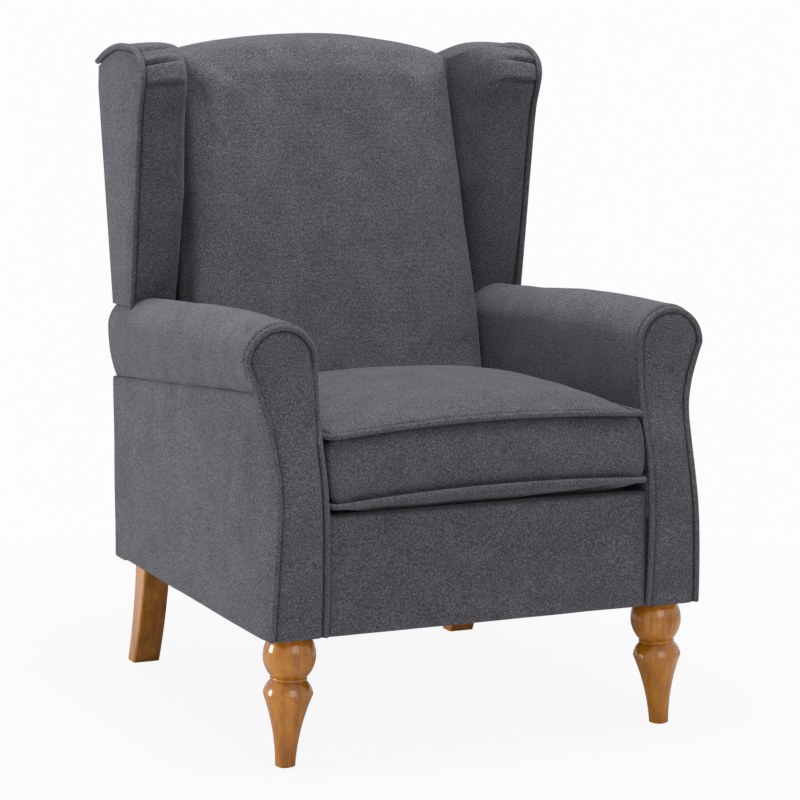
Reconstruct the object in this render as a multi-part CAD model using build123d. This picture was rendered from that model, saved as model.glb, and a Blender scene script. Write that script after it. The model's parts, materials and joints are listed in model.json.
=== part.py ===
from build123d import *
from math import atan, cos, radians, sin, sqrt, tan
import os

# A wing armchair on four wooden legs, in millimetres. X runs across the chair, Y from
# front to back and Z up, with the floor at zero. Pieces on the right are mirrored to the left.

# Whole chair
overall_depth = 790.0  # front of the seat cushion to the rear of the back's top
overall_height = 1020.0  # floor to the middle of the back's arched top
seat_width = 500.0  # clear width between the arms
leg_height = 190.0  # floor to the underside of the timber frame

# Arms
arm_roll_radius = 54.0  # at the front
arm_rear_radius = 48.0
arm_front_height = 625.0
arm_rear_height = 607.0
arm_front_seam = 535.0  # seam under the roll, at the front
arm_rear_seam = 478.0  # the same seam at the back
arm_seam_tuck = 12.0  # how far the seam lies inside the roll's outermost line
arm_pad_thickness = 22.0  # padding on the inner face
arm_body_width = 86.0  # inner face to the face of the outside panel
arm_rail_cover = 40.0  # padding over the arm rail at the front
arm_rail_height = 30.0
side_panel_thickness = 6.0

# Arm fronts, which swell forward at seat height and draw back under the rolls
facing_thickness = 10.0
front_swell = 42.0  # foremost line ahead of the roll's front
front_swell_height = 145.0  # foremost line above the frame's underside
front_roll_height = 368.0  # where the front becomes upright, above the frame's underside
front_foot_tuck = 8.0  # bottom edge behind the foremost line
facing_waist_drop = 80.0  # roll's centre down to where the outline runs straight
piping_diameter = 9.0
piping_gap = 0.3

# Timber frame
rail_thickness = 24.0
rail_height = 130.0
front_post_width = 46.0
front_post_depth = 79.0
front_rail_setback = 23.0  # behind the arm's foremost line
rear_post_width = 34.0
rear_post_depth = 36.0
corner_block_length = 60.0
corner_block_thickness = 22.0
lower_back_rail_height = 50.0
lower_back_rail_lift = 10.0  # above the seat rails
crest_rail_depth = 45.0  # height of the board at its ends
crest_rail_rise = 33.0  # rise of its arched top edge
crest_rail_cover = 35.0  # padding over its middle

# Front of the seat and the platform under the cushion
front_border_thickness = 19.0
front_border_height = 171.0
front_border_round = 6.0
front_border_gap = 0.5
deck_thickness = 31.7
insulator_thickness = 3.0
dust_cover_thickness = 1.5

# Seat springs
spring_count = 5
spring_spacing = 90.0
spring_wire = 4.0
spring_pitch = 22.0
spring_straight = 24.0
clip_width = 26.0
clip_depth = 12.0
clip_wall = 1.3
spring_clearance = 0.3

# Back
back_recline = 10.0  # outside back, above the bend
back_front_recline = 13.5  # face of the inside back
back_bend_height = 575.0
back_panel_thickness = 8.0
back_panel_drop = 16.0  # top of the outside back below the arch
back_pad_depth = 152.0  # at the bend
back_pad_lift = 8.0  # bottom of the pad above the platform
back_arch_rise = 29.0
back_top_width = 456.0  # between the wings at the top
back_edge_gap = 0.3
webbing_width = 50.0
webbing_thickness = 2.0
webbing_pitch = 85.0

# Wings
wing_foot_drop = 51.0  # wing's lowest line below the top of the arm's rear
wing_foot_reach = 78.5  # front edge at the arm, ahead of the frame's rear face
wing_foot_lean = 8.0
wing_nose_reach = 159.4
wing_nose_drop = 102.0  # below the arch
wing_top_reach = 96.4
wing_top_drop = 17.0
wing_rear_drop = 42.0
wing_pad_waist = 58.0  # outside face to where the inner face starts to turn in
wing_board_inset = 16.0
wing_crease_depth = 20.0  # meeting line of wing and back, behind the face of the back
wing_inner_drop = 12.0  # top of the wing beside the back, below its outer top
wing_inner_set = 6.0  # front of the inner face behind the front edge
wing_swell = 2.0

# Seat cushion
cushion_overhang = 2.0  # in front of the arm facings
cushion_tuck = 12.0  # how far it reaches under the rounded foot of the back
cushion_clearance = 1.0
cushion_border = 95.0  # between the two piped seams
cushion_top_crown = 42.0
cushion_bottom_crown = 15.5
cushion_crown_run = 160.0  # seam to the flat middle of the crown
cushion_lean = 16.0  # top seam behind the bottom seam, at the front
cushion_corner = 32.0
cushion_draw = 5.0  # how far the sides pull in between the corners
cushion_border_draw = 4.0  # how far the border pulls in between the seams
cushion_rest_gap = 0.3
cushion_piping_diameter = 8.0
cover_thickness = 3.0
foam_clearance = 0.3

# Zip in the cushion's rear border
zip_end_margin = 9.0  # from the zip's end to the rounding of the corner
zip_width = 6.0
zip_clearance = 0.3
slider_length = 12.0
slider_width = 8.0
slider_thickness = 2.4
slider_gap = 0.4
pull_length = 20.0
pull_width = 5.0
pull_thickness = 1.2

# Front legs, turned
leg_inset = 40.0  # axis from the arm's inner face, at the top
leg_setback = 47.0  # axis behind the arm's foremost line
leg_splay = 2.7
foot_radius = 14.2
foot_round = 1.6
shoulder_radius = 35.4
shoulder_drop = 85.0  # below the top of the leg
neck_radius = 24.8
neck_drop = 61.0
bead_height = 4.6
bead_proud = 1.5
ball_radius = 37.4
ball_drop = 30.0
leg_top_radius = 26.0
shank_hollow = 4.6  # how far the shank curves in between foot and shoulder
collar_radius = 32.4  # half way up from the shoulder to the bead

# Rear legs, swept back
rear_leg_width = 44.0
rear_leg_top_depth = 48.0
rear_leg_foot_depth = 34.0
rear_leg_rake = 52.0
rear_leg_bow = 7.0
rear_leg_tongue = 110.0  # length inside the body
rear_leg_round = 4.0

# Fixings and glides
glide_radius = 10.0
glide_thickness = 1.5
hanger_radius = 5.0
hanger_in_leg = 50.0
hanger_in_post = 52.0
insert_radius = 7.5
insert_length = 30.0
fixing_clearance = 0.1
bolt_radius = 4.0
bolt_head_radius = 8.0
bolt_head_depth = 5.0
bolt_low = 32.0  # above the frame's underside
bolt_high = 92.0
nut_radius = 7.5
nut_length = 7.0

# Places that follow from the sizes
front_y = -overall_depth / 2
arm_x = seat_width / 2
side_x = arm_x + arm_body_width
timber_in_x = arm_x + arm_pad_thickness
timber_out_x = side_x - side_panel_thickness
post_out_x = timber_in_x + rear_post_width
side_rail_x = timber_out_x - rail_thickness
fore_y = front_y + cushion_overhang + facing_thickness
rail_top = leg_height + rail_height
spring_z = rail_top + clip_wall + spring_clearance + spring_wire / 2
insulator_z = spring_z + spring_wire / 2 + spring_clearance
deck_z = insulator_z + insulator_thickness
deck_top = deck_z + deck_thickness
arm_rail_top = arm_front_height - arm_rail_cover
recline = tan(radians(back_recline))
back_panel_top = overall_height - back_panel_drop
frame_rear_y = overall_depth / 2 - (back_panel_top - back_bend_height) * recline - back_panel_thickness
post_front_y = frame_rear_y - rear_post_depth
front_rail_y = fore_y + front_rail_setback
wing_foot_z = arm_rear_height - wing_foot_drop
cushion_front_y = front_y + cushion_piping_diameter
back_foot_y = frame_rear_y - back_pad_depth
back_foot_y -= (back_bend_height - deck_top) * tan(radians(back_front_recline))
cushion_rear_y = back_foot_y + cushion_tuck - cushion_piping_diameter
cushion_half = arm_x - cushion_clearance - cushion_piping_diameter
cushion_low_z = deck_top + cushion_rest_gap + cushion_bottom_crown
cushion_high_z = cushion_low_z + cushion_border
zip_length = 2 * (cushion_half - cushion_corner - zip_end_margin)
leg_x = arm_x + leg_inset
leg_y = fore_y + leg_setback
facing_steps = 18  # places along the piping up each side of a facing
crown_steps = [0.0, 0.07, 0.24, 0.56, 1.0]  # from the seam to the middle of the crown
far = 2 * overall_height  # long enough to cut right through the chair
diagonal = sqrt(0.5)  # share of a radius along each axis, half way round a quarter turn

facing_plane = Plane(origin=(arm_x, 0, leg_height), x_dir=(1, 0, 0), z_dir=(0, -1, 0))
post_plane = Plane(
    origin=(0, post_front_y, back_bend_height),
    x_dir=(1, 0, 0),
    z_dir=(0, -cos(radians(back_recline)), sin(radians(back_recline))),
)


def line(start, end):
    return Edge.make_line(start, end)


def arc(start, middle, end):
    return Edge.make_three_point_arc(start, middle, end)


def bend(start, direction, end):
    return Edge.make_tangent_arc(start, direction, end)


def block(x, y, z):
    size = (x[1] - x[0], y[1] - y[0], z[1] - z[0])
    middle = ((x[0] + x[1]) / 2, (y[0] + y[1]) / 2, (z[0] + z[1]) / 2)
    return Pos(*middle) * Box(*size)


def side_slab(outline, x):
    """Extrude an outline of (y, z) points from x[0] to x[1]."""
    wire = Wire.make_polygon([(x[0], y, z) for y, z in outline], close=True)
    return extrude(Face(wire), amount=x[1] - x[0], dir=(1, 0, 0))


def tube(path, radius):
    section = Plane(origin=path @ 0, z_dir=path % 0) * Circle(radius)
    return sweep(section, path=path)


def left(part):
    return mirror(part, about=Plane.YZ)


def sag(turn, run, rise):
    """How far an arc has turned aside after a rise, if it turns aside by turn over its whole run."""
    radius = (turn**2 + run**2) / (2 * turn)
    return radius - sqrt(radius**2 - rise**2)


def arm_front_y(z):
    """Front of an arm's padding at a height."""
    height = z - leg_height
    half_run = (front_roll_height - front_swell_height) / 2
    if height < front_swell_height:
        return fore_y + sag(front_foot_tuck, front_swell_height, front_swell_height - height)
    if height < front_swell_height + half_run:
        return fore_y + sag(front_swell / 2, half_run, height - front_swell_height)
    return fore_y + front_swell - sag(front_swell / 2, half_run, max(0.0, front_roll_height - height))


def ahead_of_front(forward):
    """All that lies in front of the arms' front surface, moved forward."""
    swell_z = leg_height + front_swell_height
    roll_z = leg_height + front_roll_height
    middle_z = (swell_z + roll_z) / 2

    def point(z):
        return (0, arm_front_y(z) - forward, z)

    edges = [
        line((0, -far, 0), (0, arm_front_y(leg_height) - forward, 0)),
        line((0, arm_front_y(leg_height) - forward, 0), point(leg_height)),
        bend(point(swell_z), (0, 0, -1), point(leg_height)),
        bend(point(swell_z), (0, 0, 1), point(middle_z)),
        bend(point(roll_z), (0, 0, -1), point(middle_z)),
        line(point(roll_z), point(far)),
        line(point(far), (0, -far, far)),
        line((0, -far, far), (0, -far, 0)),
    ]
    return extrude(Face(Wire(edges)), amount=far, dir=(1, 0, 0))


def behind_facing(part):
    return part - ahead_of_front(0)


def before_outside_back(part):
    slab = Box(far, far, far, align=(Align.CENTER, Align.CENTER, Align.MAX))
    rear = Plane(origin=(0, frame_rear_y, back_bend_height), x_dir=(1, 0, 0), z_dir=post_plane.z_dir)
    return part - rear * slab


def rear_plane_y(z):
    return frame_rear_y + (z - back_bend_height) * recline


def back_face_y(z):
    face = frame_rear_y - back_pad_depth
    return face + (z - back_bend_height) * tan(radians(back_front_recline))


def back_half_width(z):
    """Half the width of the inside back, which narrows above the arms."""
    share = max(0.0, (z - wing_foot_z) / (overall_height - back_arch_rise - wing_foot_z))
    return arm_x + (back_top_width / 2 - arm_x) * share


# Arms


def along_arm(y, at_front, at_rear):
    """A height that changes evenly from the front of the arm to its rear."""
    return at_front + (at_rear - at_front) * (y - front_y) / (frame_rear_y - front_y)


def arm_section(y, grow, hollow):
    """Section of an arm's padding across the chair at y; grow enlarges its outer line."""
    roll = along_arm(y, arm_roll_radius, arm_rear_radius)
    radius = roll + grow
    seam = along_arm(y, arm_front_seam, arm_rear_seam)
    middle_x = arm_x + roll
    middle_z = along_arm(y, arm_front_height, arm_rear_height) - roll
    slant = radius * diagonal
    low = (arm_x - grow, y, rail_top)
    inner = (middle_x - radius, y, middle_z)
    top = (middle_x, y, middle_z + radius)
    outer = (middle_x + radius, y, middle_z)
    tuck = (middle_x + radius - arm_seam_tuck, y, seam)
    edges = [
        line(low, inner),
        arc(inner, (middle_x - slant, y, middle_z + slant), top),
        arc(top, (middle_x + slant, y, middle_z + slant), outer),
        bend(outer, (0, 0, -1), tuck),
    ]
    corners = [tuck, (timber_out_x, y, seam)]
    if hollow:
        corners.append((timber_out_x, y, arm_rail_top))
        corners.append((timber_in_x, y, arm_rail_top))
        corners.append((timber_in_x, y, rail_top))
    else:
        corners.append((timber_out_x, y, rail_top))
    corners.append(low)
    edges += [line(a, b) for a, b in zip(corners, corners[1:])]
    return Wire(edges)


def arm_form(rear_y, grow, hollow):
    sections = [arm_section(y, grow, hollow) for y in (front_y, rear_y)]
    return behind_facing(Part() + Solid.make_loft(sections, ruled=True))


def outside_arm():
    base = leg_height - dust_cover_thickness
    outline = [
        (front_y, base),
        (frame_rear_y, base),
        (frame_rear_y, arm_rear_seam),
        (front_y, arm_front_seam),
    ]
    return behind_facing(side_slab(outline, (timber_out_x, side_x)))


def facing_outline(below):
    """Outline of an arm's front in the facing plane, drawn down past its bottom edge."""
    radius = arm_roll_radius
    middle = arm_front_height - radius - leg_height
    waist = middle - facing_waist_drop
    slant = radius * diagonal
    inner = (0, middle)
    top = (radius, middle + radius)
    outer = (2 * radius, middle)
    turn = (radius + arm_body_width / 2, (middle + waist) / 2)
    straight = (arm_body_width, waist)
    edges = [
        line((0, -below), inner),
        arc(inner, (radius - slant, middle + slant), top),
        arc(top, (radius + slant, middle + slant), outer),
        bend(outer, (0, -1), turn),
        bend(straight, (0, 1), turn),
        line(straight, (arm_body_width, -below)),
        line((arm_body_width, -below), (0, -below)),
    ]
    return Wire(edges)


def facing_outer_x(z):
    """Outer edge of the facing at a height, from its upright lower part to the roll."""
    rise = z - (arm_front_height - arm_roll_radius - facing_waist_drop)
    spread = (2 * arm_roll_radius - arm_body_width) / 2
    half_run = facing_waist_drop / 2
    if rise <= half_run:
        return side_x + sag(spread, half_run, max(0.0, rise))
    return side_x + 2 * spread - sag(spread, half_run, facing_waist_drop - rise)


def arm_facing():
    inset = piping_diameter + piping_gap
    inside = facing_outline(inset).offset_2d(-inset, Kind.INTERSECTION)
    column = extrude(facing_plane * Face(inside), amount=overall_depth, dir=facing_plane.z_dir)
    return column & (ahead_of_front(0) - ahead_of_front(facing_thickness))


def facing_piping():
    radius = piping_diameter / 2
    reach = arm_roll_radius - radius
    roll_x = arm_x + arm_roll_radius
    roll_z = arm_front_height - arm_roll_radius
    slant = reach * diagonal

    def place(x, z):
        slope = arm_front_y(z + radius) - arm_front_y(z - radius)
        lift = sqrt(radius**2 + slope**2 / 4) + piping_gap
        return (x, arm_front_y(z) - lift, z)

    heights = [leg_height + (roll_z - leg_height) * n / facing_steps for n in range(facing_steps + 1)]
    inner = [place(arm_x + radius, z) for z in heights]
    outer = [place(facing_outer_x(z) - radius, z) for z in reversed(heights)]
    top = place(roll_x, roll_z + reach)
    path = [
        Edge.make_spline(inner),
        arc(inner[-1], place(roll_x - slant, roll_z + slant), top),
        arc(top, place(roll_x + slant, roll_z + slant), outer[0]),
        Edge.make_spline(outer),
    ]
    return tube(Wire(path), radius)


# Timber frame


def hanger_axis():
    """Frame of a front leg: origin at the middle of its top, Z along the leg, upwards."""
    return Pos(leg_x, leg_y, leg_height) * Rot(Y=-leg_splay)


def rod(radius, low, high):
    return Pos(0, 0, (low + high) / 2) * Cylinder(radius, high - low)


def front_post():
    rear = fore_y + front_post_depth
    outer_x = timber_in_x + front_post_width
    post = block((timber_in_x, outer_x), (front_y, rear), (leg_height, arm_rail_top - arm_rail_height))
    bore = rod(insert_radius, -insert_radius, insert_length)
    bore += rod(hanger_radius + fixing_clearance, 0, hanger_in_post + fixing_clearance)
    return behind_facing(post) - hanger_axis() * bore


def arm_rail():
    rail = block(
        (timber_in_x, timber_out_x),
        (front_y, post_front_y),
        (arm_rail_top - arm_rail_height, arm_rail_top),
    )
    return behind_facing(rail)


def rear_post():
    base = leg_height + rear_leg_tongue
    top = overall_height - crest_rail_cover - crest_rail_rise
    shift = (top - back_bend_height) * recline
    outline = [
        (post_front_y, base),
        (frame_rear_y, base),
        (frame_rear_y, back_bend_height),
        (frame_rear_y + shift, top),
        (post_front_y + shift, top),
        (post_front_y, back_bend_height),
    ]
    return side_slab(outline, (timber_in_x, post_out_x))


def rear_bolt_places():
    y = post_front_y
    return [(y, leg_height + bolt_low), (y, leg_height + bolt_high)]


def rear_bolt(y, z):
    """A bolt from a head let into the side rail to a nut on the leg's inner face."""
    tip = post_out_x - rear_leg_width - nut_length
    shank = Pos((tip + timber_out_x) / 2, y, z) * Rot(Y=90) * Cylinder(bolt_radius, timber_out_x - tip)
    head_x = timber_out_x - bolt_head_depth / 2
    return shank + Pos(head_x, y, z) * Rot(Y=90) * Cylinder(bolt_head_radius, bolt_head_depth)


def rear_nut(y, z):
    x = post_out_x - rear_leg_width - nut_length / 2
    hexagon = extrude(RegularPolygon(nut_radius, 6), amount=nut_length / 2, both=True)
    bore = Cylinder(bolt_radius + fixing_clearance, 2 * nut_length)
    return Pos(x, y, z) * Rot(Y=90) * (hexagon - bore)


def side_rail():
    front = fore_y + front_post_depth
    rail = block((side_rail_x, timber_out_x), (front, frame_rear_y), (leg_height, rail_top))
    for y, z in rear_bolt_places():
        rail -= rear_bolt(y, z)
    return rail


def front_rail():
    return block(
        (-timber_in_x, timber_in_x), (front_rail_y, front_rail_y + rail_thickness), (leg_height, rail_top)
    )


def rear_rail():
    half = post_out_x - rear_leg_width
    return block((-half, half), (frame_rear_y - rail_thickness, frame_rear_y), (leg_height, rail_top))


def lower_back_rail():
    low = rail_top + lower_back_rail_lift
    return block(
        (-timber_in_x, timber_in_x),
        (post_front_y, post_front_y + rail_thickness),
        (low, low + lower_back_rail_height),
    )


def crest_outline(low):
    """Outline of the crest rail in the plane of the posts' fronts, from low upwards."""
    slope = cos(radians(back_recline))
    end = (overall_height - crest_rail_cover - crest_rail_rise - back_bend_height) / slope
    right = (timber_in_x, end)
    middle = (0, end + crest_rail_rise / slope)
    edges = [
        line((-timber_in_x, low), (timber_in_x, low)),
        line((timber_in_x, low), right),
        arc(right, middle, (-timber_in_x, end)),
        line((-timber_in_x, end), (-timber_in_x, low)),
    ]
    return post_plane * Face(Wire(edges)), end


def crest_rail():
    end = crest_outline(0)[1]
    face = crest_outline(end - crest_rail_depth)[0]
    return extrude(face, amount=rail_thickness, dir=-post_plane.z_dir)


def back_hollow():
    """The space inside the back that the posts, rails and webbing take up."""
    upper = extrude(crest_outline(0)[0], amount=2 * rear_post_depth, dir=-post_plane.z_dir)
    lower = block(
        (-timber_in_x, timber_in_x),
        (post_front_y, post_front_y + 2 * rear_post_depth),
        (rail_top, back_bend_height),
    )
    return upper + lower


def corner_blocks():
    low = leg_height + (bolt_low + bolt_high - corner_block_thickness) / 2
    inner_front_y = front_rail_y + rail_thickness
    rear_y = frame_rear_y - rail_thickness
    leg_in_x = post_out_x - rear_leg_width
    blocks = []
    for corner_x, corner_y, reach_y in (
        (timber_in_x, inner_front_y, fore_y + front_post_depth),
        (leg_in_x, rear_y, frame_rear_y - rear_leg_top_depth),
    ):
        outline = [
            (corner_x, corner_y, low),
            (corner_x - corner_block_length, corner_y, low),
            (corner_x, reach_y, low),
        ]
        gusset = Face(Wire.make_polygon(outline, close=True))
        solid = extrude(gusset, amount=corner_block_thickness, dir=(0, 0, 1))
        blocks += [solid, left(solid)]
    return blocks


# Springs and platform


def spring(x):
    """One zigzag spring from the front rail to the rear rail."""
    start = front_rail_y + rail_thickness / 2
    end = frame_rear_y - rail_thickness / 2
    count = int((end - start) / spring_pitch)
    radius = (end - start) / count / 2
    half = spring_straight / 2
    edges = []
    y = start
    side = 1
    for turn in range(count):
        edges.append(line((x - side * half, y, spring_z), (x + side * half, y, spring_z)))
        out = (x + side * (half + radius), y + radius, spring_z)
        slant = radius * diagonal
        for y_from, y_to in ((y, y + radius), (y + 2 * radius, y + radius)):
            reach = slant if y_to > y_from else -slant
            middle = (x + side * (half + slant), y + radius - reach, spring_z)
            edges.append(arc((x + side * half, y_from, spring_z), middle, out))
        y += 2 * radius
        side = -side
    edges.append(line((x - side * half, y, spring_z), (x + side * half, y, spring_z)))
    return tube(Wire(edges), spring_wire / 2)


def spring_clip(x, y):
    """A clip on a rail, bored for the straight end of a spring."""
    height = 2 * (spring_z - rail_top)
    body = Pos(x, y, spring_z) * Box(min(clip_width, spring_straight), clip_depth, height)
    bore = Pos(x, y, spring_z) * Rot(Y=90) * Cylinder(spring_wire / 2 + spring_clearance, 2 * clip_width)
    return body - bore


def spring_places():
    first = -spring_spacing * (spring_count - 1) / 2
    return [first + spring_spacing * n for n in range(spring_count)]


def spring_clips():
    front = front_rail_y + rail_thickness / 2
    rear = frame_rear_y - rail_thickness / 2
    return [spring_clip(x, y) for x in spring_places() for y in (front, rear)]


def spring_insulator():
    reach = spring_places()[-1] + spring_straight
    rear = frame_rear_y - 2 * rail_thickness
    return block((-reach, reach), (front_rail_y + rail_thickness, rear), (insulator_z, deck_z))


def seat_deck():
    half = arm_x - front_border_gap
    return block((-half, half), (front_rail_y, post_front_y - rail_thickness), (deck_z, deck_top))


def front_border():
    half = arm_x - front_border_gap
    base = leg_height - dust_cover_thickness
    panel = block(
        (-half, half),
        (front_rail_y - front_border_thickness, front_rail_y),
        (base, base + front_border_height),
    )
    lip = panel.edges().filter_by(Axis.X).group_by(Axis.Z)[-1].sort_by(Axis.Y)[0]
    return fillet(lip, front_border_round)


def dust_cover():
    cover = block(
        (-timber_out_x, timber_out_x),
        (front_rail_y, frame_rear_y),
        (leg_height - dust_cover_thickness, leg_height),
    )
    gap = 2 * dust_cover_thickness
    for side in (1, -1):
        cover -= Pos(side * leg_x, leg_y, leg_height) * Cylinder(leg_top_radius + gap, 2 * gap)
        leg_mid = side * (post_out_x - rear_leg_width / 2)
        hole_y = frame_rear_y - rear_leg_top_depth / 2
        hole = Box(rear_leg_width + gap, rear_leg_top_depth + gap, 2 * gap)
        cover -= Pos(leg_mid, hole_y, leg_height) * hole
    return cover


# Back


def back_section(depth, inset):
    """Outline of the inside back: depth runs from 0 at the rear to 1 at its face."""
    low = deck_top + back_pad_lift + inset
    corner_z = overall_height - back_arch_rise - inset
    top_z = overall_height - inset

    def point(x, z):
        return (x, rear_plane_y(z) + depth * (back_face_y(z) - rear_plane_y(z)), z)

    def edge_x(z):
        return back_half_width(z) - back_edge_gap - inset

    right = [point(edge_x(z), z) for z in (low, wing_foot_z, corner_z)]
    other = [(-x, y, z) for x, y, z in right]
    edges = [
        line(other[0], right[0]),
        line(right[0], right[1]),
        line(right[1], right[2]),
        arc(right[2], point(0, top_z), other[2]),
        line(other[2], other[1]),
        line(other[1], other[0]),
    ]
    return Wire(edges)


def inside_back():
    """Padding of the back, rounded over its edges and swelling to the middle of its face."""
    rounding = [(0.0, 14), (0.1, 5), (0.25, 0), (0.62, 0), (0.78, 5), (0.9, 18), (0.97, 46), (1.0, 100)]
    form = Solid.make_loft([back_section(depth, inset) for depth, inset in rounding], ruled=True)
    return Part() + form - back_hollow()


def outside_back():
    base = leg_height - dust_cover_thickness
    top = overall_height
    skin = [
        (frame_rear_y, base),
        (frame_rear_y + back_panel_thickness, base),
        (frame_rear_y + back_panel_thickness, back_bend_height),
        (rear_plane_y(top) + back_panel_thickness, top),
        (rear_plane_y(top), top),
        (frame_rear_y, back_bend_height),
    ]
    panel = side_slab(skin, (-side_x, side_x))
    side_top = overall_height - wing_rear_drop - piping_diameter
    edges = [
        line((-side_x, 0, 0), (side_x, 0, 0)),
        line((side_x, 0, 0), (side_x, 0, side_top)),
        arc((side_x, 0, side_top), (0, 0, back_panel_top), (-side_x, 0, side_top)),
        line((-side_x, 0, side_top), (-side_x, 0, 0)),
    ]
    return panel & extrude(Face(Wire(edges)), amount=far, dir=(0, 1, 0))


def back_webbing():
    """Straps between the rear posts, level with their fronts."""
    flush = (Align.CENTER, Align.CENTER, Align.MAX)
    strap = Box(2 * timber_in_x, webbing_width, webbing_thickness, align=flush)
    slope = cos(radians(back_recline))
    crest_low = (overall_height - crest_rail_cover - crest_rail_rise - back_bend_height) / slope
    crest_low -= crest_rail_depth + webbing_width / 2
    rail_high = rail_top + lower_back_rail_lift + lower_back_rail_height
    low_room = back_bend_height - rail_high - webbing_width
    straps = []
    for n in range(int(crest_low / webbing_pitch)):
        straps.append(post_plane * Pos(0, webbing_pitch * (n + 0.5), 0) * strap)
    upright = Plane(origin=(0, post_front_y, rail_high), x_dir=(1, 0, 0), z_dir=(0, -1, 0))
    for n in range(int(low_room / webbing_pitch) + 1):
        straps.append(upright * Pos(0, webbing_pitch * (n + 0.5), 0) * strap)
    return straps


# Wings


def wing_outline(x, set_back, drop, rear_extra):
    """Side outline of a wing at x, running from the arm round its nose to the rear."""
    foot = (x, frame_rear_y - wing_foot_reach, wing_foot_z)
    nose = (x, frame_rear_y - wing_nose_reach + set_back, overall_height - wing_nose_drop - drop)
    top = (x, frame_rear_y - wing_top_reach + set_back, overall_height - wing_top_drop - drop)
    rear_z = overall_height - wing_rear_drop - drop
    rear = (x, rear_plane_y(rear_z) + rear_extra, rear_z)
    heel = (x, rear_plane_y(wing_foot_z) + rear_extra, wing_foot_z)
    front = bend(foot, (0, -tan(radians(wing_foot_lean)), 1), nose)
    corner = bend(nose, front % 1, top)
    crown = bend(top, corner % 1, rear)
    return Wire([front, corner, crown, line(rear, heel), line(heel, foot)])


def wing_inner_outline():
    """Where a wing meets the inside back."""
    top_z = overall_height - back_arch_rise - wing_inner_drop

    def point(y, z):
        return (back_half_width(z), y, z)

    def crease(z):
        return point(back_face_y(z) + wing_crease_depth, z)

    nose_z = overall_height - wing_nose_drop
    corners = [
        crease(wing_foot_z),
        crease(nose_z),
        crease(top_z),
        point(rear_plane_y(top_z), top_z),
        point(rear_plane_y(wing_foot_z), wing_foot_z),
    ]
    return Wire.make_polygon(corners, close=True)


def wing_face(x, inset):
    """Flat side outline drawn in from the front and top, and running on past the rear."""
    outline = wing_outline(x, 0, 0, wing_foot_reach)
    return outline.offset_2d(-inset, Kind.INTERSECTION)


def above_arm(part):
    return part - arm_form(frame_rear_y + rear_post_depth, back_edge_gap, False)


def wing_board():
    face = Face(wing_face(post_out_x, wing_board_inset))
    board = before_outside_back(extrude(face, amount=timber_out_x - post_out_x, dir=(1, 0, 0)))
    return board - block((0, far), (-far, far), (0, arm_rail_top))


def wing_pad():
    waist_x = side_x - wing_pad_waist
    sections = [
        wing_outline(timber_out_x, 0, 0, 0),
        wing_outline((timber_out_x + waist_x) / 2, -wing_swell, -wing_swell, 0),
        wing_outline(waist_x, wing_inner_set, wing_inner_set, 0),
        wing_inner_outline(),
    ]
    form = Part() + Solid.make_loft(sections, ruled=True)
    return above_arm(form) - wing_board() - rear_post() - back_hollow()


def outside_wing():
    face = Face(wing_face(timber_out_x, piping_diameter))
    return before_outside_back(above_arm(extrude(face, amount=side_panel_thickness, dir=(1, 0, 0))))


def wing_piping():
    radius = piping_diameter / 2
    around = wing_face(timber_out_x + radius, radius)
    path = Wire([edge for edge in around.edges() if edge.geom_type == GeomType.CIRCLE])
    return before_outside_back(above_arm(tube(path, radius)))


# Seat cushion


def cushion_outline(z, grow, lean):
    """Plan of the cushion at z, grown outwards, with sides that pull in between the corners."""
    half = cushion_half + grow
    front = cushion_front_y + lean - grow
    rear = cushion_rear_y + grow
    radius = max(cushion_corner + grow, cushion_corner / 2)
    middle_y = (front + rear) / 2
    reach_x = half - radius
    reach_y = (rear - front) / 2 - radius
    pull_side = 2 * atan(cushion_draw / reach_y)
    pull_front = 2 * atan(cushion_draw / reach_x)

    def corner(side, face, angle):
        x = side * (reach_x + radius * cos(angle))
        return (x, middle_y + face * (reach_y + radius * sin(angle)), z)

    def corner_arc(side, face, end):
        return arc(corner(side, face, -pull_side), corner(side, face, radians(45)), corner(side, face, end))

    side_y = reach_y - radius * sin(pull_side)
    side_x_mid = reach_x + radius * cos(pull_side) - side_y * tan(pull_side / 2)
    front_x = reach_x - radius * sin(pull_front)
    front_mid = -reach_y - radius * cos(pull_front) + front_x * tan(pull_front / 2)
    rear_end = radians(90)
    front_end = radians(90) + pull_front
    edges = []
    for side in (1, -1):
        edges.append(corner_arc(side, 1, rear_end))
        edges.append(corner_arc(side, -1, front_end))
        waist = (side * side_x_mid, middle_y, z)
        edges.append(arc(corner(side, 1, -pull_side), waist, corner(side, -1, -pull_side)))
    edges.append(line(corner(1, 1, rear_end), corner(-1, 1, rear_end)))
    waist = (0, middle_y + front_mid, z)
    edges.append(arc(corner(1, -1, front_end), waist, corner(-1, -1, front_end)))
    return Wire(edges)


def cushion_form(shrink, crown_steps):
    """The cushion's closed form, shrunk on every side, with its crown in a few steps."""
    levels = []
    for step in reversed(crown_steps):
        rise = sqrt(1 - (1 - step) ** 2)
        z = cushion_low_z - cushion_bottom_crown * rise + shrink
        levels.append((z, -cushion_crown_run * step, 0))
    middle_z = (cushion_low_z + cushion_high_z) / 2
    for z in (middle_z - slider_length, middle_z + slider_length):
        lean = cushion_lean * (z - cushion_low_z) / cushion_border
        levels.append((z, -cushion_border_draw, lean))
    for step in crown_steps:
        rise = sqrt(1 - (1 - step) ** 2)
        z = cushion_high_z + cushion_top_crown * rise - shrink
        levels.append((z, -cushion_crown_run * step, cushion_lean))
    sections = [cushion_outline(z, grow - shrink, lean) for z, grow, lean in levels]
    return Part() + Solid.make_loft(sections, ruled=True)


def zip_wall_y():
    return cushion_rear_y - cushion_border_draw


def zip_strip(room, depth):
    z = (cushion_low_z + cushion_high_z) / 2
    size = Box(zip_length + 2 * room, depth, zip_width + 2 * room)
    return Pos(0, zip_wall_y() - cover_thickness / 2, z) * size


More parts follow.
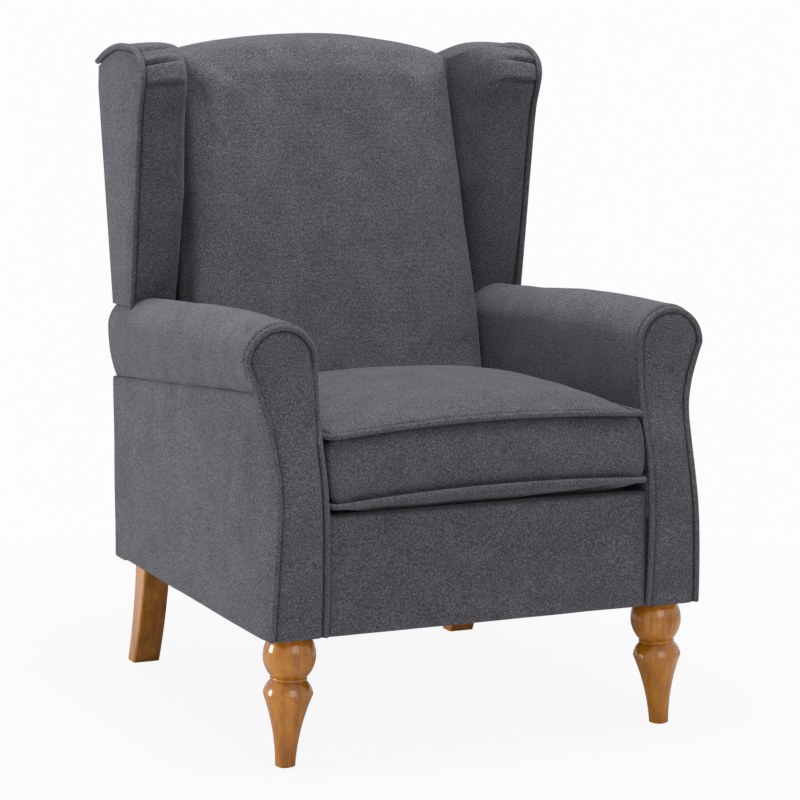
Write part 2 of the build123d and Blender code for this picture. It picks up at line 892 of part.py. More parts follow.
def cushion_cover():
    skin = cushion_form(0, crown_steps) - cushion_form(cover_thickness, crown_steps)
    return skin - zip_strip(zip_clearance, 2 * cover_thickness)


def cushion_piping(z, lean):
    radius = cushion_piping_diameter / 2
    return tube(cushion_outline(z, radius, lean), radius)


def zip_slider():
    """Slider at the closed end of the zip, with a pull that hangs from it."""
    z = (cushion_low_z + cushion_high_z) / 2
    x = (zip_length - slider_length) / 2
    back = zip_wall_y() + slider_gap
    body = block(
        (x - slider_length / 2, x + slider_length / 2),
        (back, back + slider_thickness),
        (z - slider_width / 2, z + slider_width / 2),
    )
    body = fillet(body.edges().filter_by(Axis.Y), slider_width / 4)
    pull = block(
        (x - pull_width / 2, x + pull_width / 2),
        (back + slider_thickness, back + slider_thickness + pull_thickness),
        (z - pull_length, z + slider_width / 4),
    )
    return body + fillet(pull.edges().filter_by(Axis.Y), pull_width / 4)


# Legs


def front_leg():
    """A turned leg: tapering shank, shoulder, neck with a bead, and ball."""
    length = leg_height
    foot = -length
    shoulder = (shoulder_radius, 0, -shoulder_drop)
    neck_z = -neck_drop
    shank_z = foot + foot_round
    waist = ((foot_radius + shoulder_radius) / 2 - shank_hollow, 0, (shank_z - shoulder_drop) / 2)
    bead_low = neck_z - bead_height
    collar = (collar_radius, 0, (bead_low - shoulder_drop) / 2)
    edges = [
        line((0, 0, foot), (foot_radius - foot_round, 0, foot)),
        line((foot_radius - foot_round, 0, foot), (foot_radius, 0, shank_z)),
        arc((foot_radius, 0, shank_z), waist, shoulder),
        arc(shoulder, collar, (neck_radius, 0, bead_low)),
        arc(
            (neck_radius, 0, bead_low),
            (neck_radius + bead_proud, 0, neck_z - bead_height / 2),
            (neck_radius, 0, neck_z),
        ),
        arc((neck_radius, 0, neck_z), (ball_radius, 0, -ball_drop), (leg_top_radius, 0, 0)),
        line((leg_top_radius, 0, 0), (leg_top_radius, 0, bead_height)),
        line((leg_top_radius, 0, bead_height), (0, 0, bead_height)),
        line((0, 0, bead_height), (0, 0, foot)),
    ]
    turned = revolve(Face(Wire(edges)), axis=Axis.Z)
    turned -= rod(hanger_radius + fixing_clearance, -hanger_in_leg - fixing_clearance, far)
    stood = hanger_axis() * turned
    return stood & block((-far, far), (-far, far), (glide_thickness, leg_height))


def rear_leg():
    """A swept leg with a straight tongue bolted inside the side rail."""
    front = frame_rear_y - rear_leg_top_depth
    foot_rear = frame_rear_y + rear_leg_rake
    foot_front = foot_rear - rear_leg_foot_depth
    top = leg_height + rear_leg_tongue
    knee = leg_height - 2 * dust_cover_thickness
    x = post_out_x - rear_leg_width

    def sweep_back(high_y, low_y):
        middle = ((high_y + low_y) / 2 - rear_leg_bow, (knee + glide_thickness) / 2)
        return arc((x, high_y, knee), (x, *middle), (x, low_y, glide_thickness))

    edges = [
        line((x, front, top), (x, frame_rear_y, top)),
        line((x, frame_rear_y, top), (x, frame_rear_y, knee)),
        sweep_back(frame_rear_y, foot_rear),
        line((x, foot_rear, glide_thickness), (x, foot_front, glide_thickness)),
        sweep_back(front, foot_front),
        line((x, front, knee), (x, front, top)),
    ]
    leg = extrude(Face(Wire(edges)), amount=rear_leg_width, dir=(1, 0, 0))
    swept = [edge for edge in leg.edges() if edge.geom_type == GeomType.CIRCLE]
    leg = fillet(swept, min(rear_leg_round, rear_leg_foot_depth / 3))
    for y, z in rear_bolt_places():
        leg -= rear_bolt(y, z)
    return leg


def glides():
    """One round glide under each foot."""
    foot_x = leg_x + leg_height * tan(radians(leg_splay))
    rear_y = frame_rear_y + rear_leg_rake - rear_leg_foot_depth / 2
    rear_x = post_out_x - rear_leg_width / 2
    disc = Pos(0, 0, glide_thickness / 2) * Cylinder(glide_radius, glide_thickness)
    return [Pos(side * x, y, 0) * disc for x, y in ((foot_x, leg_y), (rear_x, rear_y)) for side in (1, -1)]


def hanger_bolt():
    return hanger_axis() * rod(hanger_radius, -hanger_in_leg, hanger_in_post)


def leg_insert():
    sleeve = rod(insert_radius - fixing_clearance, -insert_radius, insert_length)
    sleeve -= rod(hanger_radius + fixing_clearance, -far, far)
    return hanger_axis() * sleeve & block((-far, far), (-far, far), (leg_height, far))


def on_both_sides(parts):
    return list(parts) + [left(part) for part in parts]


def pieces():
    """Every piece of the chair by name; a list holds like pieces that share a name."""
    nodes = {
        "front_rail": front_rail(),
        "rear_rail": rear_rail(),
        "lower_back_rail": lower_back_rail(),
        "crest_rail": crest_rail(),
        "corner_blocks": corner_blocks(),
        "seat_springs": [spring(x) for x in spring_places()],
        "spring_clips": spring_clips(),
        "spring_insulator": spring_insulator(),
        "back_webbing": back_webbing(),
        "seat_deck": seat_deck(),
        "front_border": front_border(),
        "inside_back": inside_back(),
        "outside_back": outside_back(),
        "dust_cover": dust_cover(),
        "cushion_cover": cushion_cover(),
        "cushion_foam": cushion_form(cover_thickness + foam_clearance, crown_steps[::2]),
        "cushion_top_piping": cushion_piping(cushion_high_z, cushion_lean),
        "cushion_bottom_piping": cushion_piping(cushion_low_z, 0),
        "cushion_zip": zip_strip(0, cover_thickness),
        "zip_slider": zip_slider(),
        "leg_glides": glides(),
        "hanger_bolts": on_both_sides([hanger_bolt()]),
        "leg_inserts": on_both_sides([leg_insert()]),
        "rear_leg_bolts": on_both_sides([rear_bolt(y, z) for y, z in rear_bolt_places()]),
        "rear_leg_nuts": on_both_sides([rear_nut(y, z) for y, z in rear_bolt_places()]),
    }
    paired = {
        "side_rail": side_rail(),
        "front_post": front_post(),
        "rear_post": rear_post(),
        "arm_rail": arm_rail(),
        "wing_board": wing_board(),
        "arm_pad": arm_form(frame_rear_y, 0, True) - wing_board() - rear_post() - back_hollow(),
        "outside_arm": outside_arm(),
        "arm_facing": arm_facing(),
        "facing_piping": facing_piping(),
        "wing_pad": wing_pad(),
        "outside_wing": outside_wing(),
        "wing_piping": wing_piping(),
        "front_leg": front_leg(),
        "rear_leg": rear_leg(),
    }
    for name, part in paired.items():
        nodes["right_" + name] = part
        nodes["left_" + name] = left(part)
    return nodes


def as_shape(part):
    if isinstance(part, list):
        return Compound([solid for piece in part for solid in piece.solids()])
    return part


def main():
    os.makedirs("parts", exist_ok=True)
    shapes = {name: as_shape(part) for name, part in pieces().items()}
    boxes = [shape.bounding_box() for shape in shapes.values()]
    low = [min(getattr(box.min, axis) for box in boxes) for axis in "XYZ"]
    high = [max(getattr(box.max, axis) for box in boxes) for axis in "XYZ"]
    to_origin = Pos(-(low[0] + high[0]) / 2, -(low[1] + high[1]) / 2, -low[2])
    for name, shape in shapes.items():
        export_step(to_origin * shape, "parts/" + name + ".step")
    size = [round(b - a, 1) for a, b in zip(low, high)]
    print("size", size, "in", len(shapes), "nodes")


main()
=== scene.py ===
import bpy
import bmesh
import json
from math import copysign, cos, exp, hypot, pi, radians, sin, sqrt, tan
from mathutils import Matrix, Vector, kdtree, noise
from mathutils.geometry import interpolate_bezier


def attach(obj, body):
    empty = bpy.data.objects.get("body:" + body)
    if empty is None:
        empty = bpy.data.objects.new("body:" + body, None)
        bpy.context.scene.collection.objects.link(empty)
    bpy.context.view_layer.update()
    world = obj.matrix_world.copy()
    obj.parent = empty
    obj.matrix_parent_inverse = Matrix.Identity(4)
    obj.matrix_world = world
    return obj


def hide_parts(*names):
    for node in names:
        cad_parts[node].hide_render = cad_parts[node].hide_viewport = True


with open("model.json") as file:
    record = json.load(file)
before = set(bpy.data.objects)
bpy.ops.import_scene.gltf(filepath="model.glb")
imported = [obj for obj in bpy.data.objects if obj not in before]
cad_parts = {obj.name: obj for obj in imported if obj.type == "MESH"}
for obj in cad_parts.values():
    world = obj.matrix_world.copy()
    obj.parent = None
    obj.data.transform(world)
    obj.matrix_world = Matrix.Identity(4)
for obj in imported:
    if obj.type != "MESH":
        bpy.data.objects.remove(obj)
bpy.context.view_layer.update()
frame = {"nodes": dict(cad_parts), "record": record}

nodes = frame["nodes"]
scene = bpy.context.scene
bpy.ops.object.select_all(action="DESELECT")


# small sums used all over

def mix(a, b, share):
    return a + (b - a) * share


def ease(low, high, value):  # 0 below low, 1 above high, smooth between
    k = min(max((value - low) / (high - low), 0.0), 1.0)
    return k * k * (3 - 2 * k)


def roundEdge(gap, reach):  # 0 at an edge, 1 from reach inwards, along a quarter circle
    k = 1 - min(max(gap / reach, 0.0), 1.0)
    return sqrt(1 - k * k)


def packed(u):  # from -1 to 1, with rows closer together towards both ends
    return u * (3 - u * u) / 2


def crowded(u, share):  # the same, by a chosen share
    return sin(u * pi / 2) * share + u * (1 - share)


def bezierAt(a, b, c, d, k):
    return a * (1 - k) ** 3 + b * (3 * k * (1 - k) ** 2) + c * (3 * k * k * (1 - k)) + d * k ** 3


def smoothLine(points, perSpan):  # a smooth line through the points
    pts = [Vector(p) for p in points]
    line = []
    for i in range(len(pts) - 1):
        before = pts[max(i - 1, 0)]
        after = pts[min(i + 2, len(pts) - 1)]
        span = (pts[i + 1] - pts[i]).length
        handleA = pts[i] + (pts[i + 1] - before).normalized() * span / 3
        handleB = pts[i + 1] - (after - pts[i]).normalized() * span / 3
        line += interpolate_bezier(pts[i], handleA, handleB, pts[i + 1], perSpan + 1)[:-1]
    return line + [pts[-1]]


# materials

def setInputs(tree, made, inputs):  # each to a value, or to another node's output
    for key, value in inputs.items():
        if isinstance(value, bpy.types.NodeSocket):
            tree.links.new(value, made.inputs[key])
        else:
            made.inputs[key].default_value = value


def addNode(tree, kind, inputs=None, **settings):
    made = tree.nodes.new(kind)
    for key, value in settings.items():
        setattr(made, key, value)
    setInputs(tree, made, inputs or {})
    return made


def emptyTree(owner):  # for a material or the world
    owner.use_nodes = True
    owner.node_tree.nodes.clear()
    return owner.node_tree


def startMaterial(name):
    material = bpy.data.materials.new(name)
    tree = emptyTree(material)
    surface = addNode(tree, "ShaderNodeBsdfPrincipled")
    addNode(tree, "ShaderNodeOutputMaterial", {"Surface": surface.outputs["BSDF"]})
    return material, tree, surface, addNode(tree, "ShaderNodeTexCoord").outputs["Object"]


noiseRoughness = 0.6


def addNoise(tree, coords, scale, detail, stretch=None):
    if stretch:
        coords = addNode(tree, "ShaderNodeMapping", {"Scale": stretch, "Vector": coords}).outputs["Vector"]
    inputs = {"Scale": scale, "Detail": detail, "Roughness": noiseRoughness, "Vector": coords}
    return addNode(tree, "ShaderNodeTexNoise", inputs).outputs["Fac"]


def addMath(tree, operation, a, b):
    return addNode(tree, "ShaderNodeMath", {0: a, 1: b}, operation=operation).outputs["Value"]


def addRamp(tree, value, places, tones):
    ramp = addNode(tree, "ShaderNodeValToRGB", {"Fac": value})
    bands = ramp.color_ramp.elements
    while len(bands) < len(places):
        bands.new(0.5)
    for band, place, tone in zip(bands, places, tones):
        band.position = place
        band.color = (*tone, 1)
    return ramp.outputs["Color"]


def addBump(tree, height, strength, distance):
    inputs = {"Strength": strength, "Distance": distance, "Height": height}
    return addNode(tree, "ShaderNodeBump", inputs).outputs["Normal"]


clothMix = {
    "fibre": 0.42, "mottle": 0.5, "nap": 0.08, "threads": 0.15, "bumpDepth": 0.0012, "specular": 0.2,
    "sheenRoughness": 0.45, "toneStops": (0.39, 0.5, 0.61), "wave": {"Distortion": 1.5, "Detail": 1.0},
    "sheenStops": (0.42, 0.5, 0.58), "sheenTones": ((0.3, 0.305, 0.33), (0.72, 0.73, 0.79), (1.0, 1.0, 1.0)),
}


def shared(tree, value, share):
    return addMath(tree, "MULTIPLY", value, share)


def cloth(name, look):
    material, tree, surface, coords = startMaterial(name)
    fibre = addNoise(tree, coords, look["fibre"], 3)
    mottle = addNoise(tree, coords, look["mottle"], 2)
    nap = addNoise(tree, coords, look["nap"], 2)
    fleck = addMath(tree, "ADD", shared(tree, fibre, clothMix["fibre"]), shared(tree, mottle, clothMix["mottle"]))
    tone = addMath(tree, "ADD", fleck, shared(tree, nap, clothMix["nap"]))
    threads = None
    for direction in "XYZ":  # the threads run along all three axes, so each face shows two sets
        inputs = {"Scale": look["weave"], "Vector": coords, **clothMix["wave"]}
        wave = addNode(tree, "ShaderNodeTexWave", inputs, bands_direction=direction).outputs["Fac"]
        threads = wave if threads is None else addMath(tree, "ADD", threads, wave)
    height = addMath(tree, "ADD", shared(tree, threads, clothMix["threads"]), fleck)
    setInputs(tree, surface, {
        "Base Color": addRamp(tree, tone, clothMix["toneStops"], look["tones"]),
        "Normal": addBump(tree, height, look["bump"], clothMix["bumpDepth"]),
        "Roughness": look["roughness"], "Specular IOR Level": clothMix["specular"],
        "Sheen Weight": look["sheen"], "Sheen Roughness": clothMix["sheenRoughness"],
        "Sheen Tint": addRamp(tree, tone, clothMix["sheenStops"], clothMix["sheenTones"]),
    })
    return material


chenille = {
    "tones": ((0.038, 0.0368, 0.044), (0.096, 0.0935, 0.108), (0.2, 0.196, 0.222)),
    "fibre": 950, "mottle": 500, "nap": 20, "weave": 170, "bump": 0.6, "roughness": 0.95, "sheen": 0.14,
}
platformCloth = {
    "tones": ((0.05, 0.05, 0.056), (0.078, 0.078, 0.086), (0.11, 0.11, 0.12)),
    "fibre": 1100, "mottle": 420, "nap": 12, "weave": 190, "bump": 0.3, "roughness": 0.9, "sheen": 0.05,
}
blackCloth = {
    "tones": ((0.008, 0.008, 0.009), (0.016, 0.016, 0.018), (0.03, 0.03, 0.033)),
    "fibre": 1300, "mottle": 500, "nap": 14, "weave": 240, "bump": 0.3, "roughness": 0.85, "sheen": 0.05,
}
foamLook = {
    "tones": ((0.55, 0.5, 0.3), (0.7, 0.64, 0.42), (0.8, 0.75, 0.55)),
    "fibre": 1500, "mottle": 700, "nap": 20, "weave": 400, "bump": 0.4, "roughness": 0.95, "sheen": 0.0,
}
greyCloth = cloth("greyChenille", chenille)
liningCloth = cloth("platformLining", platformCloth)
bottomCloth = cloth("blackBottomCloth", blackCloth)
foamStuff = cloth("creamFoam", foamLook)


woodMix = {
    "grain": 0.7, "pores": 0.3, "stops": (0.35, 0.5, 0.68), "bumpDepth": 0.0004, "specular": 0.3,
    "coatRoughness": 0.07,
}


def wood(name, look):
    material, tree, surface, coords = startMaterial(name)
    grain = addNoise(tree, coords, look["grain"], 4, (1, 1, look["stretch"]))
    pores = addNoise(tree, coords, look["pores"], 2, (1, 1, look["stretch"] / 3))
    figure = addMath(tree, "ADD", shared(tree, grain, woodMix["grain"]), shared(tree, pores, woodMix["pores"]))
    setInputs(tree, surface, {
        "Base Color": addRamp(tree, figure, woodMix["stops"], look["tones"]),
        "Normal": addBump(tree, pores, look["bump"], woodMix["bumpDepth"]),
        "Roughness": look["roughness"], "Specular IOR Level": woodMix["specular"],
        "Coat Weight": look["coat"], "Coat Roughness": woodMix["coatRoughness"],
    })
    return material


legVarnish = {
    "tones": ((0.31, 0.094, 0.003), (0.5, 0.172, 0.004), (0.66, 0.265, 0.01)),
    "grain": 70, "pores": 420, "stretch": 0.08, "bump": 0.1, "roughness": 0.32, "coat": 0.8,
}
framePine = {
    "tones": ((0.42, 0.27, 0.13), (0.6, 0.43, 0.25), (0.7, 0.54, 0.34)),
    "grain": 40, "pores": 300, "stretch": 0.1, "bump": 0.3, "roughness": 0.7, "coat": 0.0,
}
legWood = wood("honeyVarnish", legVarnish)
frameWood = wood("plainPine", framePine)


hardMix = {"stops": (0.35, 0.65), "bump": 0.08, "bumpDepth": 0.0003}


def hardStuff(name, tones, metallic, roughness, scale):
    material, tree, surface, coords = startMaterial(name)
    worn = addNoise(tree, coords, scale, 3)
    setInputs(tree, surface, {
        "Base Color": addRamp(tree, worn, hardMix["stops"], tones),
        "Normal": addBump(tree, worn, hardMix["bump"], hardMix["bumpDepth"]),
        "Metallic": metallic, "Roughness": roughness,
    })
    return material


plateSteel = hardStuff("zincSteel", ((0.42, 0.42, 0.44), (0.58, 0.58, 0.6)), 1.0, 0.36, 240)
glidePlastic = hardStuff("darkPlastic", ((0.035, 0.035, 0.036), (0.06, 0.06, 0.062)), 0.0, 0.5, 500)

slotFinish = {
    "upholstery": greyCloth, "piping": greyCloth, "foam": foamStuff, "black_cloth": bottomCloth,
    "frame_timber": frameWood, "leg_wood": legWood, "steel": plateSteel, "glide_plastic": glidePlastic,
}
for part in frame["record"]["subparts"]:
    mesh = nodes[part["node"]].data
    mesh.materials.clear()
    mesh.materials.append(slotFinish[part["material_slot"]])
print("materials made:", len(bpy.data.materials))


# building closed padded forms

mergeGap = 0.00002
smoothAngle = radians(50)
cordRoundness = 4


def makePiece(name, bm, material):
    bmesh.ops.remove_doubles(bm, verts=bm.verts, dist=mergeGap)
    bmesh.ops.recalc_face_normals(bm, faces=bm.faces)
    if bm.calc_volume(signed=True) < 0:  # inside out
        bmesh.ops.reverse_faces(bm, faces=bm.faces)
    mesh = bpy.data.meshes.new(name)
    bm.to_mesh(mesh)
    bm.free()
    mesh.materials.append(material)
    piece = bpy.data.objects.new(name, mesh)
    scene.collection.objects.link(piece)
    return piece


def joinRows(bm, rows):  # faces between each closed row of points and the next
    for low, high in zip(rows, rows[1:]):
        for i in range(len(low)):
            j = (i + 1) % len(low)
            bm.faces.new((low[i], low[j], high[j], high[i]))


def ringPad(name, rings):  # closed rings of points, one after another, capped at both ends
    bm = bmesh.new()
    rows = [[bm.verts.new(p) for p in ring] for ring in rings]
    joinRows(bm, rows)
    for row in (rows[0], rows[-1]):
        cap = bm.faces.new(row)
        bmesh.ops.triangulate(bm, faces=[cap])
    return makePiece(name, bm, greyCloth)


def gridPad(name, front, back, across, up, sides=(), material=greyCloth):
    # front(u, v) and back(u, v) are the two faces, joined round their edge through the given side rows
    bm = bmesh.new()
    us = [2 * i / across - 1 for i in range(across + 1)]
    vs = [2 * j / up - 1 for j in range(up + 1)]
    edge = [(i, 0) for i in range(across)] + [(across, j) for j in range(up)]
    edge += [(i, up) for i in range(across, 0, -1)] + [(0, j) for j in range(up, 0, -1)]
    rims = []
    for face in (front, back):
        grid = [[bm.verts.new(face(u, v)) for v in vs] for u in us]
        for i in range(across):
            for j in range(up):
                bm.faces.new((grid[i][j], grid[i + 1][j], grid[i + 1][j + 1], grid[i][j + 1]))
        rims.append([grid[i][j] for i, j in edge])
    between = [[bm.verts.new(side(us[i], vs[j])) for i, j in edge] for side in sides]
    joinRows(bm, [rims[0], *between, rims[1]])
    return makePiece(name, bm, material)


def soften(piece, amount, size):  # uneven filling: a slow wander of the surface
    mesh = piece.data
    moves = [v.normal * noise.noise(v.co / size) * amount for v in mesh.vertices]
    for v, move in zip(mesh.vertices, moves):
        v.co += move


def pickOnly(piece):
    bpy.ops.object.select_all(action="DESELECT")
    piece.select_set(True)
    bpy.context.view_layer.objects.active = piece


def settle(modifier):  # a modifier of the picked piece
    bpy.ops.object.modifier_apply(modifier=modifier.name)


coverCloth = {"quality": 6, "mass": 0.35}


def inflate(piece, look, sewn):  # the cover swells over its filling, held where sewn says that it is sewn down
    pickOnly(piece)
    remesh = piece.modifiers.new("evenMesh", "REMESH")
    remesh.mode = "VOXEL"
    remesh.voxel_size = look["voxel"]
    settle(remesh)
    start = [v.co.copy() for v in piece.data.vertices]
    group = piece.vertex_groups.new(name="sewn")
    group.add([i for i, spot in enumerate(start) if sewn(spot)], 1.0, "REPLACE")
    cover = piece.modifiers.new("cover", "CLOTH")
    settings = cover.settings
    settings.quality = coverCloth["quality"]
    settings.mass = coverCloth["mass"]
    settings.tension_stiffness = settings.compression_stiffness = look["stiff"]
    settings.shear_stiffness = look["stiff"] / 2
    settings.bending_stiffness = look["bend"]
    settings.vertex_group_mass = group.name
    settings.use_pressure = True
    settings.uniform_pressure_force = look["pressure"]
    settings.effector_weights.gravity = 0
    cover.point_cache.frame_start = 1
    cover.point_cache.frame_end = look["frames"]
    for frameNumber in range(1, look["frames"] + 1):
        scene.frame_set(frameNumber)
    settle(cover)
    scene.frame_set(1)
    for v, spot in zip(piece.data.vertices, start):
        move = v.co - spot
        if move.length > look["cap"]:
            v.co = spot + move.normalized() * look["cap"]
    piece.vertex_groups.clear()
    smoother = piece.modifiers.new("even", "SMOOTH")
    smoother.iterations = look["even"]
    settle(smoother)
    finer = piece.modifiers.new("finer", "SUBSURF")
    finer.levels = finer.render_levels = 1
    settle(finer)
    print(piece.name, "inflated,", len(piece.data.vertices), "points")


def pipe(name, points, radius, material=greyCloth):  # a round cord or wire with closed ends
    curve = bpy.data.curves.new(name, "CURVE")
    curve.dimensions = "3D"
    curve.bevel_depth = radius
    curve.bevel_resolution = cordRoundness
    curve.use_fill_caps = True
    spline = curve.splines.new("POLY")
    spline.points.add(len(points) - 1)
    for knot, p in zip(spline.points, points):
        knot.co = (*p, 1)
    piece = bpy.data.objects.new(name, curve)
    scene.collection.objects.link(piece)
    curve.materials.append(material)
    pickOnly(piece)
    bpy.ops.object.convert(target="MESH")
    return bpy.context.object


def finishPiece(piece, body, replaced):
    pickOnly(piece)
    bpy.ops.object.shade_smooth_by_angle(angle=smoothAngle)
    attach(piece, body)
    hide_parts(*replaced)


def finishPad(piece, look, node):  # a fixed pad of the chair
    if "wander" in look:
        soften(piece, *look["wander"])
    finishPiece(piece, "chair", [node])


def stations(look):  # shares of a pad's run, close together at its rounded edge and then even
    rows = look["evenRows"]
    return look["edgeStations"] + [mix(look["evenFrom"], 1, k / rows) for k in range(rows + 1)]


def puffed(u, v, powers):  # 1 in the middle of a pad, 0 along its edges
    across, up, power = powers
    return ((1 - abs(u) ** across) * (1 - abs(v) ** up)) ** power


hands = ((1, "right"), (-1, "left"))

# arms

arm = {
    "innerX": 0.2504, "rollRadius": 0.0538, "topFront": 0.625, "topRear": 0.607,
    "rearRadius": 0.0482, "humpY": -0.14, "hump": 0.01, "humpRun": 0.22,
    "seamFront": 0.535, "seamRear": 0.478, "foreY": -0.383, "rearY": 0.3105, "swell": 0.042, "swellZ": 0.335,
    "rollFrontZ": 0.558, "footTuck": 0.008,
    "seamX": 0.3345, "low": 0.322, "railTop": 0.586, "railIn": 0.2722, "railOut": 0.3304, "underside": 0.19,
    "lengthFrom": -0.395, "lengthTo": 0.3114, "edgeDraw": 0.0065, "edgeShare": 0.009, "fill": 0.8,
    "startZ": 0.57, "frontGap": 0.0004, "bellyRise": 0.014, "bellyPull": 0.55, "tuckIn": 0.003, "tuckUp": 0.0005,
    "railUp": 0.003, "sideRows": 12, "rollRows": 28, "wander": (0.0016, 0.07),
    "edgeStations": [0, 0.001, 0.0025, 0.005, 0.009, 0.015, 0.025, 0.045], "evenFrom": 0.07, "evenRows": 32,
}


def sag(turn, run, rise):  # how far an arc has turned aside after a rise, if it turns by turn over its run
    radius = (turn ** 2 + run ** 2) / (2 * turn)
    return radius - sqrt(radius ** 2 - rise ** 2)


def armFrontY(z):  # an arm's front swells forward at seat height and draws back under the roll
    halfRun = (arm["rollFrontZ"] - arm["swellZ"]) / 2
    if z < arm["swellZ"]:
        return arm["foreY"] + sag(arm["footTuck"], arm["swellZ"] - arm["underside"], arm["swellZ"] - z)
    if z < arm["swellZ"] + halfRun:
        return arm["foreY"] + sag(arm["swell"] / 2, halfRun, z - arm["swellZ"])
    return arm["foreY"] + arm["swell"] - sag(arm["swell"] / 2, halfRun, max(0.0, arm["rollFrontZ"] - z))


def alongArm(y, front, rear):
    return mix(front, rear, (y - arm["lengthFrom"]) / (arm["lengthTo"] - arm["lengthFrom"]))


def seamZ(y):  # the seam between the roll and the outside panel
    return alongArm(y, arm["seamFront"], arm["seamRear"])


def rollRadius(y):
    return alongArm(y, arm["rollRadius"], arm["rearRadius"])


def rollMiddle(y):
    hump = arm["hump"] * exp(-((y - arm["humpY"]) / arm["humpRun"]) ** 2)
    return alongArm(y, arm["topFront"], arm["topRear"]) + hump - rollRadius(y)


def rollZ(x, y):  # upper surface of the roll
    reach = rollRadius(y) ** 2 - (x - arm["innerX"] - rollRadius(y)) ** 2
    return rollMiddle(y) + sqrt(max(reach, 0.0))


def armSection(share):
    y = mix(armFrontY(arm["startZ"]), arm["rearY"], share)
    seam = seamZ(y)
    middle = rollMiddle(y)
    draw = arm["edgeDraw"] * (1 - roundEdge(share, arm["edgeShare"]))
    radius = rollRadius(y) - draw
    rollX = arm["innerX"] + rollRadius(y)
    rows = arm["sideRows"]
    outline = [(arm["innerX"] + draw, mix(arm["low"], middle, k / rows)) for k in range(rows)]
    for k in range(arm["rollRows"] + 1):
        turn = pi * (1 - k / arm["rollRows"])
        outline.append((rollX + radius * cos(turn), middle + radius * sin(turn)))
    outerX = rollX + radius
    tuckX = arm["seamX"] - draw
    belly = interpolate_bezier(
        (outerX, 0, middle), (outerX, 0, mix(middle, seam, arm["bellyPull"])),
        (mix(outerX, tuckX, arm["bellyPull"]), 0, seam + arm["bellyRise"]), (tuckX, 0, seam), rows)
    outline += [(p.x, p.z) for p in belly[1:]]
    outline += [(tuckX - arm["tuckIn"], seam + arm["tuckUp"]), (arm["railOut"], seam + arm["railUp"])]
    outline += [(arm["railOut"], arm["railTop"]), (arm["railIn"], arm["railTop"]), (arm["railIn"], arm["low"])]
    return [(x, mix(armFrontY(z) + arm["frontGap"], arm["rearY"], share), z) for x, z in outline]


def buildArm(side, hand):
    rings = [[(side * x, y, z) for x, y, z in armSection(share)] for share in stations(arm)]
    finishPad(ringPad(hand + "ArmPadding", rings), arm, hand + "_arm_pad")


# arm facings and their piping

facing = {
    "scroll": [(0.0, 0.0885), (0.06, 0.086), (0.13, 0.0825), (0.18, 0.0785), (0.22, 0.0768), (0.25, 0.0775),
               (0.29, 0.081), (0.325, 0.089), (0.355, 0.099), (0.381, 0.1078)],
    "middle": 0.381, "roll": 0.054, "piping": 0.009, "cord": 0.0044, "edge": 0.0012, "crown": 0.0078,
    "edgeRun": 0.013, "lap": 0.003, "sideGap": 0.0004, "backGap": 0.0006, "cordFoot": 0.0005, "fill": 0.5,
    "grid": (40, 90), "wander": (0.0008, 0.06), "cordRows": 60, "rollRows": 40,
    "rowPower": 0.9,
}
facingLine = smoothLine([(p, 0, q) for q, p in facing["scroll"]], 8)


def facingOuter(q):  # outer edge of the facing at height q above its foot
    for a, b in zip(facingLine, facingLine[1:]):
        if q <= b.z:
            return mix(a.x, b.x, (q - a.z) / (b.z - a.z))
    return facingLine[-1].x


def facingEdges(q, inset):
    if q <= facing["middle"]:
        return inset, facingOuter(q) - inset
    radius = facing["roll"] - inset
    half = sqrt(max(radius ** 2 - (q - facing["middle"]) ** 2, 0.0))
    return facing["roll"] - half, facing["roll"] + half


def facingPoint(side, p, q, off):
    x, z = arm["innerX"] + p - facing["sideGap"], arm["underside"] + q
    return (side * x, armFrontY(z) - off, z)


def buildFacing(side, hand):
    topQ = facing["middle"] + facing["roll"] - facing["piping"]

    def place(u, v):
        k = (v + 1) / 2
        q = topQ * sin(k * pi / 2) ** facing["rowPower"] if k > 0 else 0.0
        low, high = facingEdges(q, facing["piping"])
        return mix(low, high, sin(u * pi / 2) * 0.5 + 0.5), q

    def front(u, v):
        p, q = place(u, v)
        low, high = facingEdges(q, facing["piping"])
        gap = min(p - low, high - p, topQ - q)
        puff = roundEdge(gap, facing["edgeRun"])
        return facingPoint(side, p, q, facing["edge"] + facing["crown"] * puff)

    def back(u, v):
        p, q = place(u, v)
        low, high = facingEdges(q, facing["piping"])
        wideLow, wideHigh = facingEdges(q, facing["lap"])
        share = (p - low) / (high - low) if high > low else 0.5
        return facingPoint(side, mix(wideLow, wideHigh, share), q, facing["backGap"])

    piece = gridPad(hand + "ArmFacing", front, back, *facing["grid"])
    finishPad(piece, facing, hand + "_arm_facing")

    inset = facing["piping"] / 2
    foot, rows = facing["cordFoot"], facing["cordRows"]
    straight = [foot + (facing["middle"] - foot) * k / rows for k in range(rows)]
    path = [facingPoint(side, facingEdges(q, inset)[0], q, inset) for q in straight]
    radius = facing["roll"] - inset
    for k in range(facing["rollRows"] + 1):
        turn = pi * (1 - k / facing["rollRows"])
        p, q = facing["roll"] + radius * cos(turn), facing["middle"] + radius * sin(turn)
        path.append(facingPoint(side, p, q, inset))
    path += [facingPoint(side, facingEdges(q, inset)[1], q, inset) for q in reversed(straight)]
    cord = pipe(hand + "FacingPiping", path, facing["cord"])
    finishPiece(cord, "chair", [hand + "_facing_piping"])


for side, hand in hands:
    buildArm(side, hand)
    buildFacing(side, hand)
print("arms and facings padded")


# back

